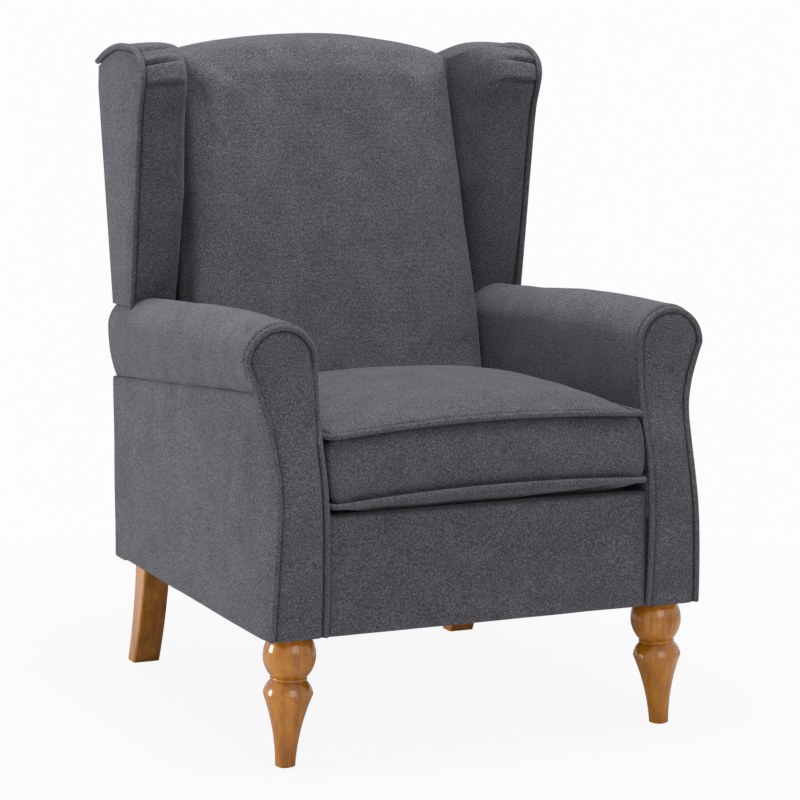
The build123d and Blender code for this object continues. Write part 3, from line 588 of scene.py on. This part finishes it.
back = {
    "bend": 0.575, "rear": 0.3114, "recline": tan(radians(10)), "depth": 0.152,
    "faceRecline": tan(radians(13.5)), "foot": 0.369, "top": 1.02, "arch": 0.029, "half": 0.25,
    "topHalf": 0.234, "narrowFrom": 0.556, "round": 0.05, "crownRound": 0.068, "roundDepth": 0.042,
    "rearRound": 0.013, "edgeGap": 0.0004, "rearGap": 0.001, "crowdX": 0.5, "crowdZ": 0.4, "fill": 0.7,
    "grid": (64, 72), "wander": (0.0016, 0.11), "roundPower": 2.5,
}
backCover = {
    "voxel": 0.007, "pressure": 3.0, "stiff": 15.0, "bend": 4.0, "frames": 20, "cap": 0.006, "sewnBand": 0.05,
    "even": 6,
}


def rearPlaneY(z):
    return back["rear"] + (z - back["bend"]) * back["recline"]


def backFaceY(z):
    return back["rear"] - back["depth"] + (z - back["bend"]) * back["faceRecline"]


def backHalf(z):
    share = max(0.0, (z - back["narrowFrom"]) / (back["top"] - back["arch"] - back["narrowFrom"]))
    return mix(back["half"], back["topHalf"], share)


def roundOff(gap, reach):  # how far a padded edge falls away, as a share of its full drop
    k = 1 - min(max(gap / reach, 0.0), 1.0)
    return 1 - (1 - k ** back["roundPower"]) ** (1 / back["roundPower"])


def backPlace(u, v):
    u, v = crowded(u, back["crowdX"]), crowded(v, back["crowdZ"])
    top = back["top"] - back["arch"] * u * u
    z = mix(back["foot"], top, (v + 1) / 2)
    return u * (backHalf(z) - back["edgeGap"]), z, top


def backFront(u, v):
    x, z, top = backPlace(u, v)
    side = roundOff(backHalf(z) - abs(x), back["round"])
    crown = roundOff(top - z, back["crownRound"])
    foot = roundOff(z - back["foot"], back["round"])
    drop = min((side ** 3 + crown ** 3 + foot ** 3) ** (1 / 3), 1.0)
    return (x, backFaceY(z) + back["roundDepth"] * drop, z)


def backRear(u, v):
    x, z, top = backPlace(u, v)
    drop = back["rearRound"] * roundOff(top - z, back["rearRound"])
    return (x, rearPlaneY(z) - back["rearGap"] - drop, z)


insideBack = gridPad("insideBackPadding", backFront, backRear, *back["grid"])


def backSewn(spot):  # its rear is fixed to the frame
    return spot.y > rearPlaneY(spot.z) - backCover["sewnBand"]


inflate(insideBack, backCover, backSewn)
finishPad(insideBack, back, "inside_back")
print("inside back padded")


# wings

wing = {
    "profile": [(0.2295, 0.556), (0.22, 0.605), (0.203, 0.703), (0.185, 0.81), (0.168, 0.9), (0.1525, 0.938),
                (0.148, 0.958), (0.157, 0.979), (0.19, 0.997), (0.239, 1.0025), (0.29, 1.001), (0.345, 0.99),
                (0.3815, 0.978)],
    "spanSteps": 14, "corner": 8, "outerX": 0.3302, "faceX": 0.258, "bulge": 0.006, "creaseDepth": 0.035,
    "gapDepth": 0.06, "gapFrom": 0.7, "gapTo": 0.97, "innerTop": 0.979, "easeTop": 0.7, "clear": 0.0006,
    "tucks": [(0.393, 0.62), (0.427, 0.56), (0.462, 0.5)], "tuckDepth": 0.0055, "edgeDrop": 0.0055,
    "edgeShare": 0.03, "tuckFrom": 0.1, "tuckSlant": 0.05, "tuckTurn": 0.7, "foldRun": 0.0028, "ridge": 0.5,
    "ridgeGap": 0.007, "ridgeRun": 0.005, "fill": 0.7, "heelRows": 10, "footRows": 8,
    "evenFrom": 0.065, "evenRows": 32, "edgeStations": [0, 0.001, 0.003, 0.006, 0.01, 0.016, 0.023, 0.031, 0.045],
}
wingLine = smoothLine([(0, y, z) for y, z in wing["profile"]], wing["spanSteps"])
wingCorner = wing["corner"] * wing["spanSteps"]


def wingNormals():
    outward = []
    for i in range(len(wingLine)):
        run = wingLine[min(i + 1, len(wingLine) - 1)] - wingLine[max(i - 1, 0)]
        outward.append(Vector((0, -run.z, run.y)).normalized())
    return outward


def wingRuns():
    runs = [0.0]
    for a, b in zip(wingLine, wingLine[1:]):
        runs.append(runs[-1] + (b - a).length)
    return runs


wingOut = wingNormals()
wingRun = wingRuns()


def wingCrease(i):  # where the wing meets the inside back, level with point i of its outer line
    bottom, top = wing["profile"][0][1], wing["innerTop"]
    if i <= wingCorner:
        z = mix(bottom, top, wingRun[i] / wingRun[wingCorner])
        gap = wing["gapDepth"] * (1 - ease(wing["gapFrom"], wing["gapTo"], z))
        y = max(backFaceY(z) + wing["creaseDepth"], wingLine[i].y + gap)
        return Vector((backHalf(z) + wing["clear"], y, z))
    share = (wingRun[i] - wingRun[wingCorner]) / (wingRun[-1] - wingRun[wingCorner])
    y = mix(backFaceY(top) + wing["creaseDepth"], rearPlaneY(top), share)
    return Vector((backHalf(top) + wing["clear"], y, top))


def tuckDrop(run, share):  # each tuck is a fold with a low ridge beside it, and fades towards the back
    drop = 0.0
    for place, reach in wing["tucks"]:
        fade = 1 - ease(wing["tuckFrom"], reach, share)
        gap = run - place - wing["tuckSlant"] * share * (wing["tuckTurn"] - share)
        fold = exp(-(gap / wing["foldRun"]) ** 2)
        ridge = exp(-((gap - wing["ridgeGap"]) / wing["ridgeRun"]) ** 2)
        drop += fade * (fold - wing["ridge"] * ridge)
    return wing["tuckDepth"] * drop


def wingRing(share):
    ring = []
    for i, point in enumerate(wingLine):
        outer = Vector((wing["outerX"], point.y, point.z))
        handle = Vector((wing["faceX"], point.y, point.z)) + wingOut[i] * wing["bulge"]
        inner = wingCrease(i)
        spot = bezierAt(outer, handle, handle, inner, share)
        edge = wing["edgeDrop"] * (1 - roundEdge(share, wing["edgeShare"]))
        spot -= wingOut[i] * (tuckDrop(wingRun[i], share) + edge)
        ring.append(spot)
    foot = rollZ(ring[0].x, ring[0].y) + wing["clear"]
    start = ring[0].z
    for spot in ring[: wingCorner // 2]:
        if spot.z < wing["easeTop"]:
            spot.z = mix(foot, wing["easeTop"], (spot.z - start) / (wing["easeTop"] - start))
    last = ring[-1]
    width = (wing["outerX"] - last.x) / (wing["outerX"] - backHalf(last.z))
    heelZ = rollZ(mix(wing["outerX"], back["half"], width), arm["rearY"]) + wing["clear"]
    for k in range(1, wing["heelRows"] + 1):
        z = mix(last.z, heelZ, k / wing["heelRows"])
        ring.append(Vector((mix(wing["outerX"], backHalf(z), width), rearPlaneY(z) - wing["clear"], z)))
    heel = ring[-1]
    for k in range(1, wing["footRows"]):
        share = k / wing["footRows"]
        x, y = mix(heel.x, ring[0].x, share), mix(heel.y, ring[0].y, share)
        ring.append(Vector((x, y, rollZ(x, y) + wing["clear"])))
    return ring


def buildWing(side, hand):
    rings = [[(side * p.x, p.y, p.z) for p in wingRing(share)] for share in stations(wing)]
    finishPad(ringPad(hand + "WingPadding", rings), wing, hand + "_wing_pad")


wingPanel = {
    "inset": 0.0105, "rearLap": 0.0075, "cordX": 0.3356, "cordInset": 0.0026, "cord": 0.0047, "fill": 0.4,
    "heelX": 0.333, "heelGap": 0.001, "frontGap": 0.002, "rearGap": 0.001, "cordRear": 0.004,
    "heelRows": 11, "footRows": 8,
    "rows": [(0.3303, 0.003, 0.0), (0.3307, 0.0095, 0.0), (0.335, 0.0105, 0.0), (0.3366, 0.012, 0.04),
             (0.3377, 0.014, 0.1), (0.3385, 0.016, 0.18), (0.339, 0.017, 0.28), (0.3392, 0.0175, 0.4),
             (0.3392, 0.0175, 0.7), (0.3392, 0.0175, 0.96)],  # x, inset from the edge, share of the way inwards
}


def heelLine(y):  # height of the arm's roll below the panel
    return rollZ(wingPanel["heelX"], y)


def wingPanelLine(inset):  # outline of the wing's outside, drawn in from the front and top
    kept = []
    for i, point in enumerate(wingLine):
        spot = point - wingOut[i] * wingPanel["inset"]
        inFront = spot.y < rearPlaneY(spot.z) - wingPanel["rearGap"]
        if inFront and spot.z > heelLine(spot.y) + wingPanel["frontGap"]:
            kept.append(i)
    line = [wingLine[i] - wingOut[i] * inset for i in kept]
    topZ, heelZ = line[-1].z, heelLine(arm["rearY"]) + wingPanel["heelGap"]
    for k in range(1, wingPanel["heelRows"] + 1):
        z = mix(topZ, heelZ, k / wingPanel["heelRows"])
        line.append(Vector((0, rearPlaneY(z) + wingPanel["rearLap"], z)))
    heel, foot = line[-1], line[0]
    for k in range(1, wingPanel["footRows"]):
        y = mix(heel.y, foot.y, k / wingPanel["footRows"])
        line.append(Vector((0, y, heelLine(y) + wingPanel["heelGap"])))
    return line


def buildWingPanel(side, hand):  # its front edge runs on under the cord as a flange
    rings = []
    for x, inset, inward in wingPanel["rows"]:
        outline = wingPanelLine(inset)
        middle = sum(outline, Vector()) / len(outline)
        rings.append([(side * x, mix(p.y, middle.y, inward), mix(p.z, middle.z, inward)) for p in outline])
    finishPad(ringPad(hand + "OutsideWing", rings), wingPanel, hand + "_outside_wing")

    path = [point - wingOut[i] * wingPanel["cordInset"] for i, point in enumerate(wingLine)]
    path = [p for p in path if p.y < rearPlaneY(p.z) + wingPanel["cordRear"]
            and p.z > rollZ(wingPanel["cordX"], p.y) + wingPanel["heelGap"]]
    path = [(side * wingPanel["cordX"], p.y, p.z) for p in path]
    cord = pipe(hand + "WingPiping", path, wingPanel["cord"])
    finishPiece(cord, "chair", [hand + "_wing_piping"])


for side, hand in hands:
    buildWing(side, hand)
    buildWingPanel(side, hand)
print("wings padded")


# outside panels, border and platform

panel = {
    "inX": 0.3304, "edgeX": 0.334, "outX": 0.3392, "thick": 0.006, "low": 0.1886, "rear": 0.3195, "blend": 0.13,
    "sag": 0.005, "sagFrom": 0.262, "sagRun": 0.02, "edgeDraw": 0.0065, "edgeRun": 0.03, "slot": 0.0032,
    "round": 0.008, "startZ": 0.5, "gap": 0.0004, "scrollX": 0.25, "scrollGap": 0.0015, "fill": 0.4,
    "grid": (84, 48), "wander": (0.0008, 0.09),
}


def buildOutsideArm(side, hand):
    def place(u, v, slot):
        u, v = packed(u), packed(v)
        share = (u + 1) / 2
        y0 = mix(armFrontY(panel["startZ"]), panel["rear"], share)
        top = seamZ(y0) - panel["gap"]
        low = panel["low"] - panel["sag"] * ease(panel["sagFrom"], panel["sagFrom"] + panel["sagRun"], y0)
        z = mix(low, top, (v + 1) / 2)
        return mix(armFrontY(z) + slot, panel["rear"], share), z

    def waisted(x, y, z):  # near the front the panel draws in to the facing's scroll
        frontX = panel["scrollX"] + facingOuter(z - arm["underside"]) - panel["scrollGap"]
        return mix(min(x, frontX), x, ease(0.0, panel["blend"], y - armFrontY(z)))

    def outer(u, v):
        y, z = place(u, v, panel["slot"])
        edges = (seamZ(y) - z, panel["rear"] - y, z - panel["low"] + panel["sag"])
        puff = min(roundEdge(gap, panel["round"]) for gap in edges)
        x = waisted(mix(panel["edgeX"], panel["outX"], puff), y, z)
        draw = panel["edgeDraw"] * (1 - roundEdge(y - armFrontY(z) - panel["slot"], panel["edgeRun"]))
        return (side * (x - draw), y, z)

    def inner(u, v):
        y, z = place(u, v, panel["gap"])
        return (side * min(panel["inX"], waisted(panel["edgeX"], y, z) - panel["thick"]), y, z)

    piece = gridPad(hand + "OutsideArm", outer, inner, *panel["grid"])
    finishPad(piece, panel, hand + "_outside_arm")


rearPanel = {
    "half": 0.33, "low": 0.1886, "top": 1.004, "sideTop": 0.9775, "thick": 0.008, "edge": 0.003, "gap": 0.0003,
    "crowd": 0.4, "fill": 0.3, "grid": (48, 56), "wander": (0.0008, 0.12), "puff": (10, 14, 0.5),
}


def rearPanelPlace(u, v):
    x = crowded(u, rearPanel["crowd"]) * rearPanel["half"]
    top = mix(rearPanel["top"], rearPanel["sideTop"], min(abs(x) / back["topHalf"], 1.0) ** 2)
    return x, mix(rearPanel["low"], top, (v + 1) / 2)


def bodyRearY(z):  # upright below the bend, reclined above it
    return back["rear"] + max(z - back["bend"], 0.0) * back["recline"]


def rearPanelOut(u, v):
    x, z = rearPanelPlace(u, v)
    thick = mix(rearPanel["edge"], rearPanel["thick"], puffed(u, v, rearPanel["puff"]))
    return (x, bodyRearY(z) + thick, z)


def rearPanelIn(u, v):
    x, z = rearPanelPlace(u, v)
    return (x, bodyRearY(z) + rearPanel["gap"], z)


for side, hand in hands:
    buildOutsideArm(side, hand)
outsideBack = gridPad("outsideBack", rearPanelOut, rearPanelIn, *rearPanel["grid"])
finishPad(outsideBack, rearPanel, "outside_back")

border = {
    "half": 0.2714, "shown": 0.2494, "low": 0.1886, "high": 0.3592, "front": -0.3788, "rear": -0.3603,
    "round": 0.005, "edgeDraw": 0.006, "fill": 0.4, "grid": (80, 32), "wander": (0.001, 0.08),
}


def borderFront(u, v):  # its ends are tucked in behind the facings' piping
    u, v = packed(u), packed(v)
    x = u * border["half"]
    z = mix(border["low"], border["high"], (v + 1) / 2)
    edges = (border["shown"] - abs(x), border["high"] - z, z - border["low"])
    puff = min(roundEdge(gap, border["round"]) for gap in edges)
    return (x, mix(border["front"] + border["edgeDraw"], border["front"], puff), z)


def borderRear(u, v):
    u, v = packed(u), packed(v)
    return (u * border["half"], border["rear"], mix(border["low"], border["high"], (v + 1) / 2))


frontBorder = gridPad("frontBorder", borderFront, borderRear, *border["grid"])
finishPad(frontBorder, border, "front_border")

deck = {
    "half": 0.2494, "front": -0.3598, "rear": 0.251, "low": 0.3292, "high": 0.3604, "seamY": -0.25,
    "seamDepth": 0.004, "seamRun": 0.006, "edgeDrop": 0.008, "fill": 0.6, "grid": (40, 90), "puff": (12, 12, 0.5),
}


def deckTop(u, v):
    y = mix(deck["front"], deck["rear"], (v + 1) / 2)
    puff = puffed(u, v, deck["puff"])
    groove = deck["seamDepth"] * exp(-((y - deck["seamY"]) / deck["seamRun"]) ** 2)
    return (u * deck["half"], y, mix(deck["high"] - deck["edgeDrop"], deck["high"], puff) - groove)


def deckLow(u, v):
    return (u * deck["half"], mix(deck["front"], deck["rear"], (v + 1) / 2), deck["low"])


bottom = {
    "half": 0.3285, "front": -0.359, "rear": 0.3105, "top": 0.1899, "sag": 0.009, "thick": 0.0008, "cell": 0.008,
    "frontLeg": (0.29, -0.336, 0.029), "rearLegs": (0.2585, 0.2595),
}


def bottomSpot(x, y):  # cut round the front legs' tops and notched at the rear legs
    legX, legY, reach = bottom["frontLeg"]
    away = Vector((abs(x) - legX, y - legY))
    if away.length < reach:
        away = away.normalized() * reach
        x = copysign(min(legX + away.x, bottom["half"]), x)
        y = max(legY + away.y, bottom["front"])
    u, v = x / bottom["half"], 2 * (y - bottom["front"]) / (bottom["rear"] - bottom["front"]) - 1
    return (x, y, bottom["top"] - bottom["thick"] - bottom["sag"] * ((1 - u ** 4) * (1 - v ** 4)))


def buildBottomCloth():
    across = round(2 * bottom["half"] / bottom["cell"])
    along = round((bottom["rear"] - bottom["front"]) / bottom["cell"])
    bm = bmesh.new()
    xs = [mix(-bottom["half"], bottom["half"], i / across) for i in range(across + 1)]
    ys = [mix(bottom["front"], bottom["rear"], j / along) for j in range(along + 1)]
    spots = [[bm.verts.new(bottomSpot(x, y)) for y in ys] for x in xs]
    legX, legY, reach = bottom["frontLeg"]
    for i in range(across):
        for j in range(along):
            x, y = (xs[i] + xs[i + 1]) / 2, (ys[j] + ys[j + 1]) / 2
            overFront = hypot(abs(x) - legX, y - legY) < reach
            overRear = abs(x) > bottom["rearLegs"][0] and y > bottom["rearLegs"][1]
            if not overFront and not overRear:
                bm.faces.new((spots[i][j], spots[i][j + 1], spots[i + 1][j + 1], spots[i + 1][j]))
    bmesh.ops.delete(bm, geom=[v for v in bm.verts if not v.link_faces], context="VERTS")
    area = sum(face.calc_area() for face in bm.faces)
    piece = makePiece("bottomCloth", bm, bottomCloth)
    wall = piece.modifiers.new("thickness", "SOLIDIFY")
    wall.thickness = bottom["thick"]
    wall.offset = 0
    pickOnly(piece)
    settle(wall)
    finishPiece(piece, "chair", ["dust_cover"])


buildBottomCloth()
seatDeck = gridPad("seatPlatform", deckTop, deckLow, *deck["grid"], material=liningCloth)
finishPad(seatDeck, deck, "seat_deck")
print("panels, border and platform done")


# seat springs

springs = {
    "count": 5, "spacing": 0.09, "wire": 0.004, "front": -0.348, "rear": 0.29936, "z": 0.3236, "bends": 29,
    "straight": 0.024, "bendSteps": 8,
}


def springPath(x):  # a zigzag from the front rail to the rear rail
    front, rear, z = springs["front"], springs["rear"], springs["z"]
    half = springs["straight"] / 2
    radius = (rear - front) / springs["bends"] / 2
    path = [(x - half, front, z)]
    for bend in range(springs["bends"]):
        side = -1 if bend % 2 else 1
        y = front + 2 * radius * bend
        for k in range(springs["bendSteps"] + 1):
            turn = pi * k / springs["bendSteps"]
            across, along = radius * sin(turn), radius * (1 - cos(turn))
            path.append((x + side * (half + across), y + along, z))
    path.append((x - side * half, rear, z))
    return path


def buildSprings():
    first = -springs["spacing"] * (springs["count"] - 1) / 2
    wires = []
    for n in range(springs["count"]):
        path = springPath(first + springs["spacing"] * n)
        wires.append(pipe("seatSprings", path, springs["wire"] / 2, plateSteel))
    for wire in wires:
        wire.select_set(True)
    bpy.context.view_layer.objects.active = wires[0]
    bpy.ops.object.join()
    finishPiece(wires[0], "chair", ["seat_springs"])


buildSprings()
print("seat springs bent")


# seat cushion

seat = {
    "half": 0.242, "front": -0.387, "rear": 0.112, "lowSeam": 0.3764, "highSeam": 0.4714, "crown": 0.043,
    "belly": 0.0152, "lean": 0.016, "square": 44.0, "cordSquare": 28.0, "draw": 0.003, "borderSwell": 0.004,
    "sideSwell": 0.013, "zipDraw": 0.0085, "zipZ": 0.424, "zipRun": 0.03, "groove": 0.0085, "grooveRun": 0.0085,
    "cornerHold": 0.85, "cornerFrom": 0.86, "cornerTo": 0.96, "cordProud": 0.002, "proudFrom": -0.36,
    "proudTo": -0.3, "archHigh": 0.011, "archLow": 0.009, "archFrom": -0.25, "archTo": 0.05, "tilt": 0.003,
    "piping": 0.0084, "seamSteps": 480, "borderRows": 12, "grid": (72, 76), "wander": (0.0012, 0.06), "fill": 0.75,
    "topPuff": (2.4, 2.6, 0.55), "lowPuff": (15, 15, 0.28), "rearFrom": 0.99, "zipFlat": 0.6, "zipFade": 16,
}
seatCover = {
    "voxel": 0.006, "pressure": 4.0, "stiff": 12.0, "bend": 0.4, "frames": 20, "cap": 0.009, "sewnBand": 0.005,
    "sewnRim": 0.9, "sewnCorner": 0.955, "sewnZip": 0.93, "even": 2,
}
flange = {
    "reach": 0.017, "cornerReach": 0.009, "drop": 0.0028, "thick": 0.0008, "steps": 16,
    "from": radians(-215), "to": radians(130),
}


def cushionPlan(u, v, grow, lean, square=seat["square"]):  # a square with rounded corners and drawn-in sides
    flat = max(abs(u), abs(v))
    bent = (abs(u) ** square + abs(v) ** square) ** (1 / square)
    k = flat / bent if bent > 0 else 1.0
    su, sv = u * k, v * k
    frontY = seat["front"] + lean - grow
    rearY = seat["rear"] + grow
    x = su * (seat["half"] + grow - seat["draw"] * (1 - sv * sv))
    pull = seat["draw"] * (1 - su * su) if v < 0 else 0.0
    halfY = (rearY - frontY) / 2
    return x, (frontY + rearY) / 2 + sv * (halfY - pull)


def seamLift(x, y, arch):  # the front seams arch up, and sit a little higher on the right
    frontness = 1 - ease(seat["archFrom"], seat["archTo"], y)
    across = x / seat["half"]
    return (arch * (1 - across * across) + seat["tilt"] * across) * frontness


def cushionTop(u, v):
    x, y = cushionPlan(u, v, 0, seat["lean"])
    swell = puffed(u, v, seat["topPuff"])
    lift = seamLift(x, y, seat["archHigh"]) * (1 - swell)
    return (x, y, seat["highSeam"] + lift + seat["crown"] * swell)


def cushionUnder(u, v):
    x, y = cushionPlan(u, v, 0, 0)
    swell = puffed(u, v, seat["lowPuff"])
    lift = seamLift(x, y, seat["archLow"]) * (1 - swell)
    return (x, y, seat["lowSeam"] + lift - seat["belly"] * swell)


def cushionSide(share):
    def row(u, v):
        swell = sin(share * pi) ** 0.5
        bulge = seat["borderSwell"] * swell
        x, y = cushionPlan(u, v, bulge, seat["lean"] * (1 - share))
        x *= 1 + seat["sideSwell"] * swell
        high = seat["highSeam"] + seamLift(x, y, seat["archHigh"])
        low = seat["lowSeam"] + seamLift(x, y, seat["archLow"])
        z = mix(high, low, share)
        if v > seat["rearFrom"]:  # the rear border lies flat behind the zip
            level = 1 - ease(seat["zipFlat"], 1.0, abs(z - seat["zipZ"]) / seat["zipRun"])
            y -= (bulge + seat["zipDraw"]) * level * (1 - u ** seat["zipFade"])
        return (x, y, z)
    return row


borderRows = [cushionSide(k / seat["borderRows"]) for k in range(1, seat["borderRows"])]
seatCushion = gridPad("seatCushion", cushionTop, cushionUnder, *seat["grid"], borderRows)


def cushionShares(spot):  # from -1 to 1 across the cushion and from its front to its rear
    middleY = (seat["front"] + seat["rear"]) / 2
    return spot.x / seat["half"], (spot.y - middleY) / (seat["rear"] - middleY)


def cushionSewn(spot):  # close to either piped seam, at the corners, or behind the zip
    u, v = cushionShares(spot)
    seams = ((seat["highSeam"], seat["archHigh"]), (seat["lowSeam"], seat["archLow"]))
    near = min(abs(spot.z - seam - seamLift(spot.x, spot.y, arch)) for seam, arch in seams)
    behindZip = v > seatCover["sewnZip"] and abs(spot.z - seat["zipZ"]) < seat["zipRun"]
    onSeam = near < seatCover["sewnBand"] and max(abs(u), abs(v)) > seatCover["sewnRim"]
    return behindZip or onSeam or min(abs(u), abs(v)) > seatCover["sewnCorner"]


inflate(seatCushion, seatCover, cushionSewn)
soften(seatCushion, *seat["wander"])


def seamPath(seam, arch, lean):
    path = []
    for k in range(seat["seamSteps"]):
        turn = 2 * pi * k / seat["seamSteps"]
        c, s = cos(turn), sin(turn)
        reach = max(abs(c), abs(s))
        x, y = cushionPlan(c / reach, s / reach, seat["piping"] / 2, lean, seat["cordSquare"])
        proud = seat["cordProud"] * (1 - ease(seat["proudFrom"], seat["proudTo"], y))
        path.append(Vector((x, y - proud, seam + seamLift(x, y, arch))))
    return path


def cornerShare(spot):  # 1 at the cushion's corners, 0 along its sides
    u, v = cushionShares(spot)
    return ease(seat["cornerFrom"], seat["cornerTo"], min(abs(u), abs(v)))


def sinkSeam(piece, path):  # the cover is drawn in along a piped seam
    tree = kdtree.KDTree(len(path))
    for k, spot in enumerate(path):
        tree.insert(spot, k)
    tree.balance()
    moves = []
    for v in piece.data.vertices:
        gap = tree.find(v.co)[2] / seat["grooveRun"]
        depth = seat["groove"] * (1 - seat["cornerHold"] * cornerShare(v.co))
        moves.append(v.normal * -depth * exp(-gap * gap))
    for v, move in zip(piece.data.vertices, moves):
        v.co += move


def cushionCord(name, path, node):  # a round cord, with the flange that is sewn into the seam
    bm = bmesh.new()
    radius = seat["piping"] / 2
    rings = []
    for k, spot in enumerate(path):
        along = path[(k + 1) % len(path)] - path[k - 1]
        inward = Vector((-along.y, along.x, 0)).normalized()
        tail = mix(flange["reach"], flange["cornerReach"], cornerShare(spot))
        rim = [(tail, flange["thick"] / 2 - flange["drop"])]
        for i in range(flange["steps"] + 1):
            turn = mix(flange["from"], flange["to"], i / flange["steps"])
            rim.append((-cos(turn) * radius, -sin(turn) * radius))
        rim.append((tail, -flange["thick"] / 2 - flange["drop"]))
        rings.append([bm.verts.new(spot + inward * a + Vector((0, 0, b))) for a, b in rim])
    for a, b in zip(rings, rings[1:] + rings[:1]):
        for i in range(len(a)):
            bm.faces.new((a[i - 1], a[i], b[i], b[i - 1]))
    finishPiece(makePiece(name, bm, greyCloth), "seat_cushion", [node])


topSeam = seamPath(seat["highSeam"], seat["archHigh"], seat["lean"])
lowSeam = seamPath(seat["lowSeam"], seat["archLow"], 0)
for path in (topSeam, lowSeam):
    sinkSeam(seatCushion, path)
finishPiece(seatCushion, "seat_cushion", ["cushion_cover", "cushion_foam"])
cushionCord("cushionTopPiping", topSeam, "cushion_top_piping")
cushionCord("cushionBottomPiping", lowSeam, "cushion_bottom_piping")
print("seat cushion made")


# floor, light and camera

floorLook = {
    "size": 60, "level": -0.0004, "colour": (0.86, 0.86, 0.86, 1), "glow": 0.94, "fadeFrom": 0.5, "fadeTo": 1.5,
    "white": 0.975,
}


def blendShaders(tree, share, first, second, kind):  # the first, and the second where the share is 1
    blend = addNode(tree, "ShaderNodeMixShader", {0: share, 1: first.outputs[0], 2: second.outputs[0]})
    addNode(tree, kind, {"Surface": blend.outputs["Shader"]})


def buildFloor():
    bpy.ops.object.select_all(action="DESELECT")
    bpy.ops.mesh.primitive_plane_add(size=floorLook["size"], location=(0, 0, floorLook["level"]))
    floor = bpy.context.object
    floor.name = "studioFloor"
    material = bpy.data.materials.new("paleFloor")
    tree = emptyTree(material)
    plain = addNode(tree, "ShaderNodeBsdfDiffuse", {"Color": floorLook["colour"]})
    glow = addNode(tree, "ShaderNodeEmission", {"Color": (1, 1, 1, 1), "Strength": floorLook["white"]})
    coords = addNode(tree, "ShaderNodeTexCoord")
    away = addNode(tree, "ShaderNodeVectorMath", {0: coords.outputs["Object"]}, operation="LENGTH")
    fade = addNode(tree, "ShaderNodeMapRange", {
        "Value": away.outputs["Value"], "From Min": floorLook["fadeFrom"], "From Max": floorLook["fadeTo"],
        "To Min": floorLook["glow"], "To Max": 1.0})
    ray = addNode(tree, "ShaderNodeLightPath")
    seen = addMath(tree, "MULTIPLY", ray.outputs["Is Camera Ray"], fade.outputs["Result"])
    blendShaders(tree, seen, plain, glow, "ShaderNodeOutputMaterial")
    floor.data.materials.append(material)


def buildWorld(fill):
    world = bpy.data.worlds.new("studioWorld")
    scene.world = world
    tree = emptyTree(world)
    soft = addNode(tree, "ShaderNodeBackground", {"Color": (1, 1, 1, 1), "Strength": fill})
    white = addNode(tree, "ShaderNodeBackground", {"Color": (1, 1, 1, 1), "Strength": floorLook["white"]})
    ray = addNode(tree, "ShaderNodeLightPath")
    shown = addMath(tree, "MAXIMUM", ray.outputs["Is Camera Ray"], ray.outputs["Is Glossy Ray"])
    shown = addMath(tree, "MAXIMUM", shown, ray.outputs["Is Transmission Ray"])
    blendShaders(tree, shown, soft, white, "ShaderNodeOutputWorld")


lamps = {
    "worldFill": 0.15,
    "key": {"place": (0.1, -3.3, 1.6), "aim": (0, 0, 0.5), "size": 1.8, "watts": 24},
    "side": {"place": (-3.2, 0.9, 0.9), "aim": (0, 0.1, 0.85), "size": 1.1, "watts": 62},
    "top": {"place": (0.0, -0.3, 3.3), "aim": (0, 0, 0.4), "size": 1.6, "watts": 84},
}


def buildLamp(name, look):
    data = bpy.data.lights.new(name, "AREA")
    data.shape = "SQUARE"
    data.size = look["size"]
    data.energy = look["watts"]
    lamp = bpy.data.objects.new(name, data)
    scene.collection.objects.link(lamp)
    lamp.location = look["place"]
    aim = Vector(look["aim"]) - Vector(look["place"])
    lamp.rotation_euler = aim.to_track_quat("-Z", "Y").to_euler()


camera = {
    "azimuth": -23.6, "elevation": 7.93, "distance": 4.072, "aim": (0.024, 0, 0.4585), "lens": 118.6, "sensor": 36,
}


def buildCamera():
    data = bpy.data.cameras.new("photoCamera")
    data.sensor_width = camera["sensor"]
    data.lens = camera["lens"]
    a, e = radians(camera["azimuth"]), radians(camera["elevation"])
    away = Vector((sin(a) * cos(e), -cos(a) * cos(e), sin(e)))
    eye = bpy.data.objects.new("photoCamera", data)
    scene.collection.objects.link(eye)
    eye.location = Vector(camera["aim"]) + away * camera["distance"]
    eye.rotation_euler = (-away).to_track_quat("-Z", "Y").to_euler()
    scene.camera = eye


buildFloor()
buildWorld(lamps["worldFill"])
for name in ("key", "side", "top"):
    buildLamp(name + "Lamp", lamps[name])
buildCamera()
scene.view_settings.view_transform = "Standard"
print("studio set")
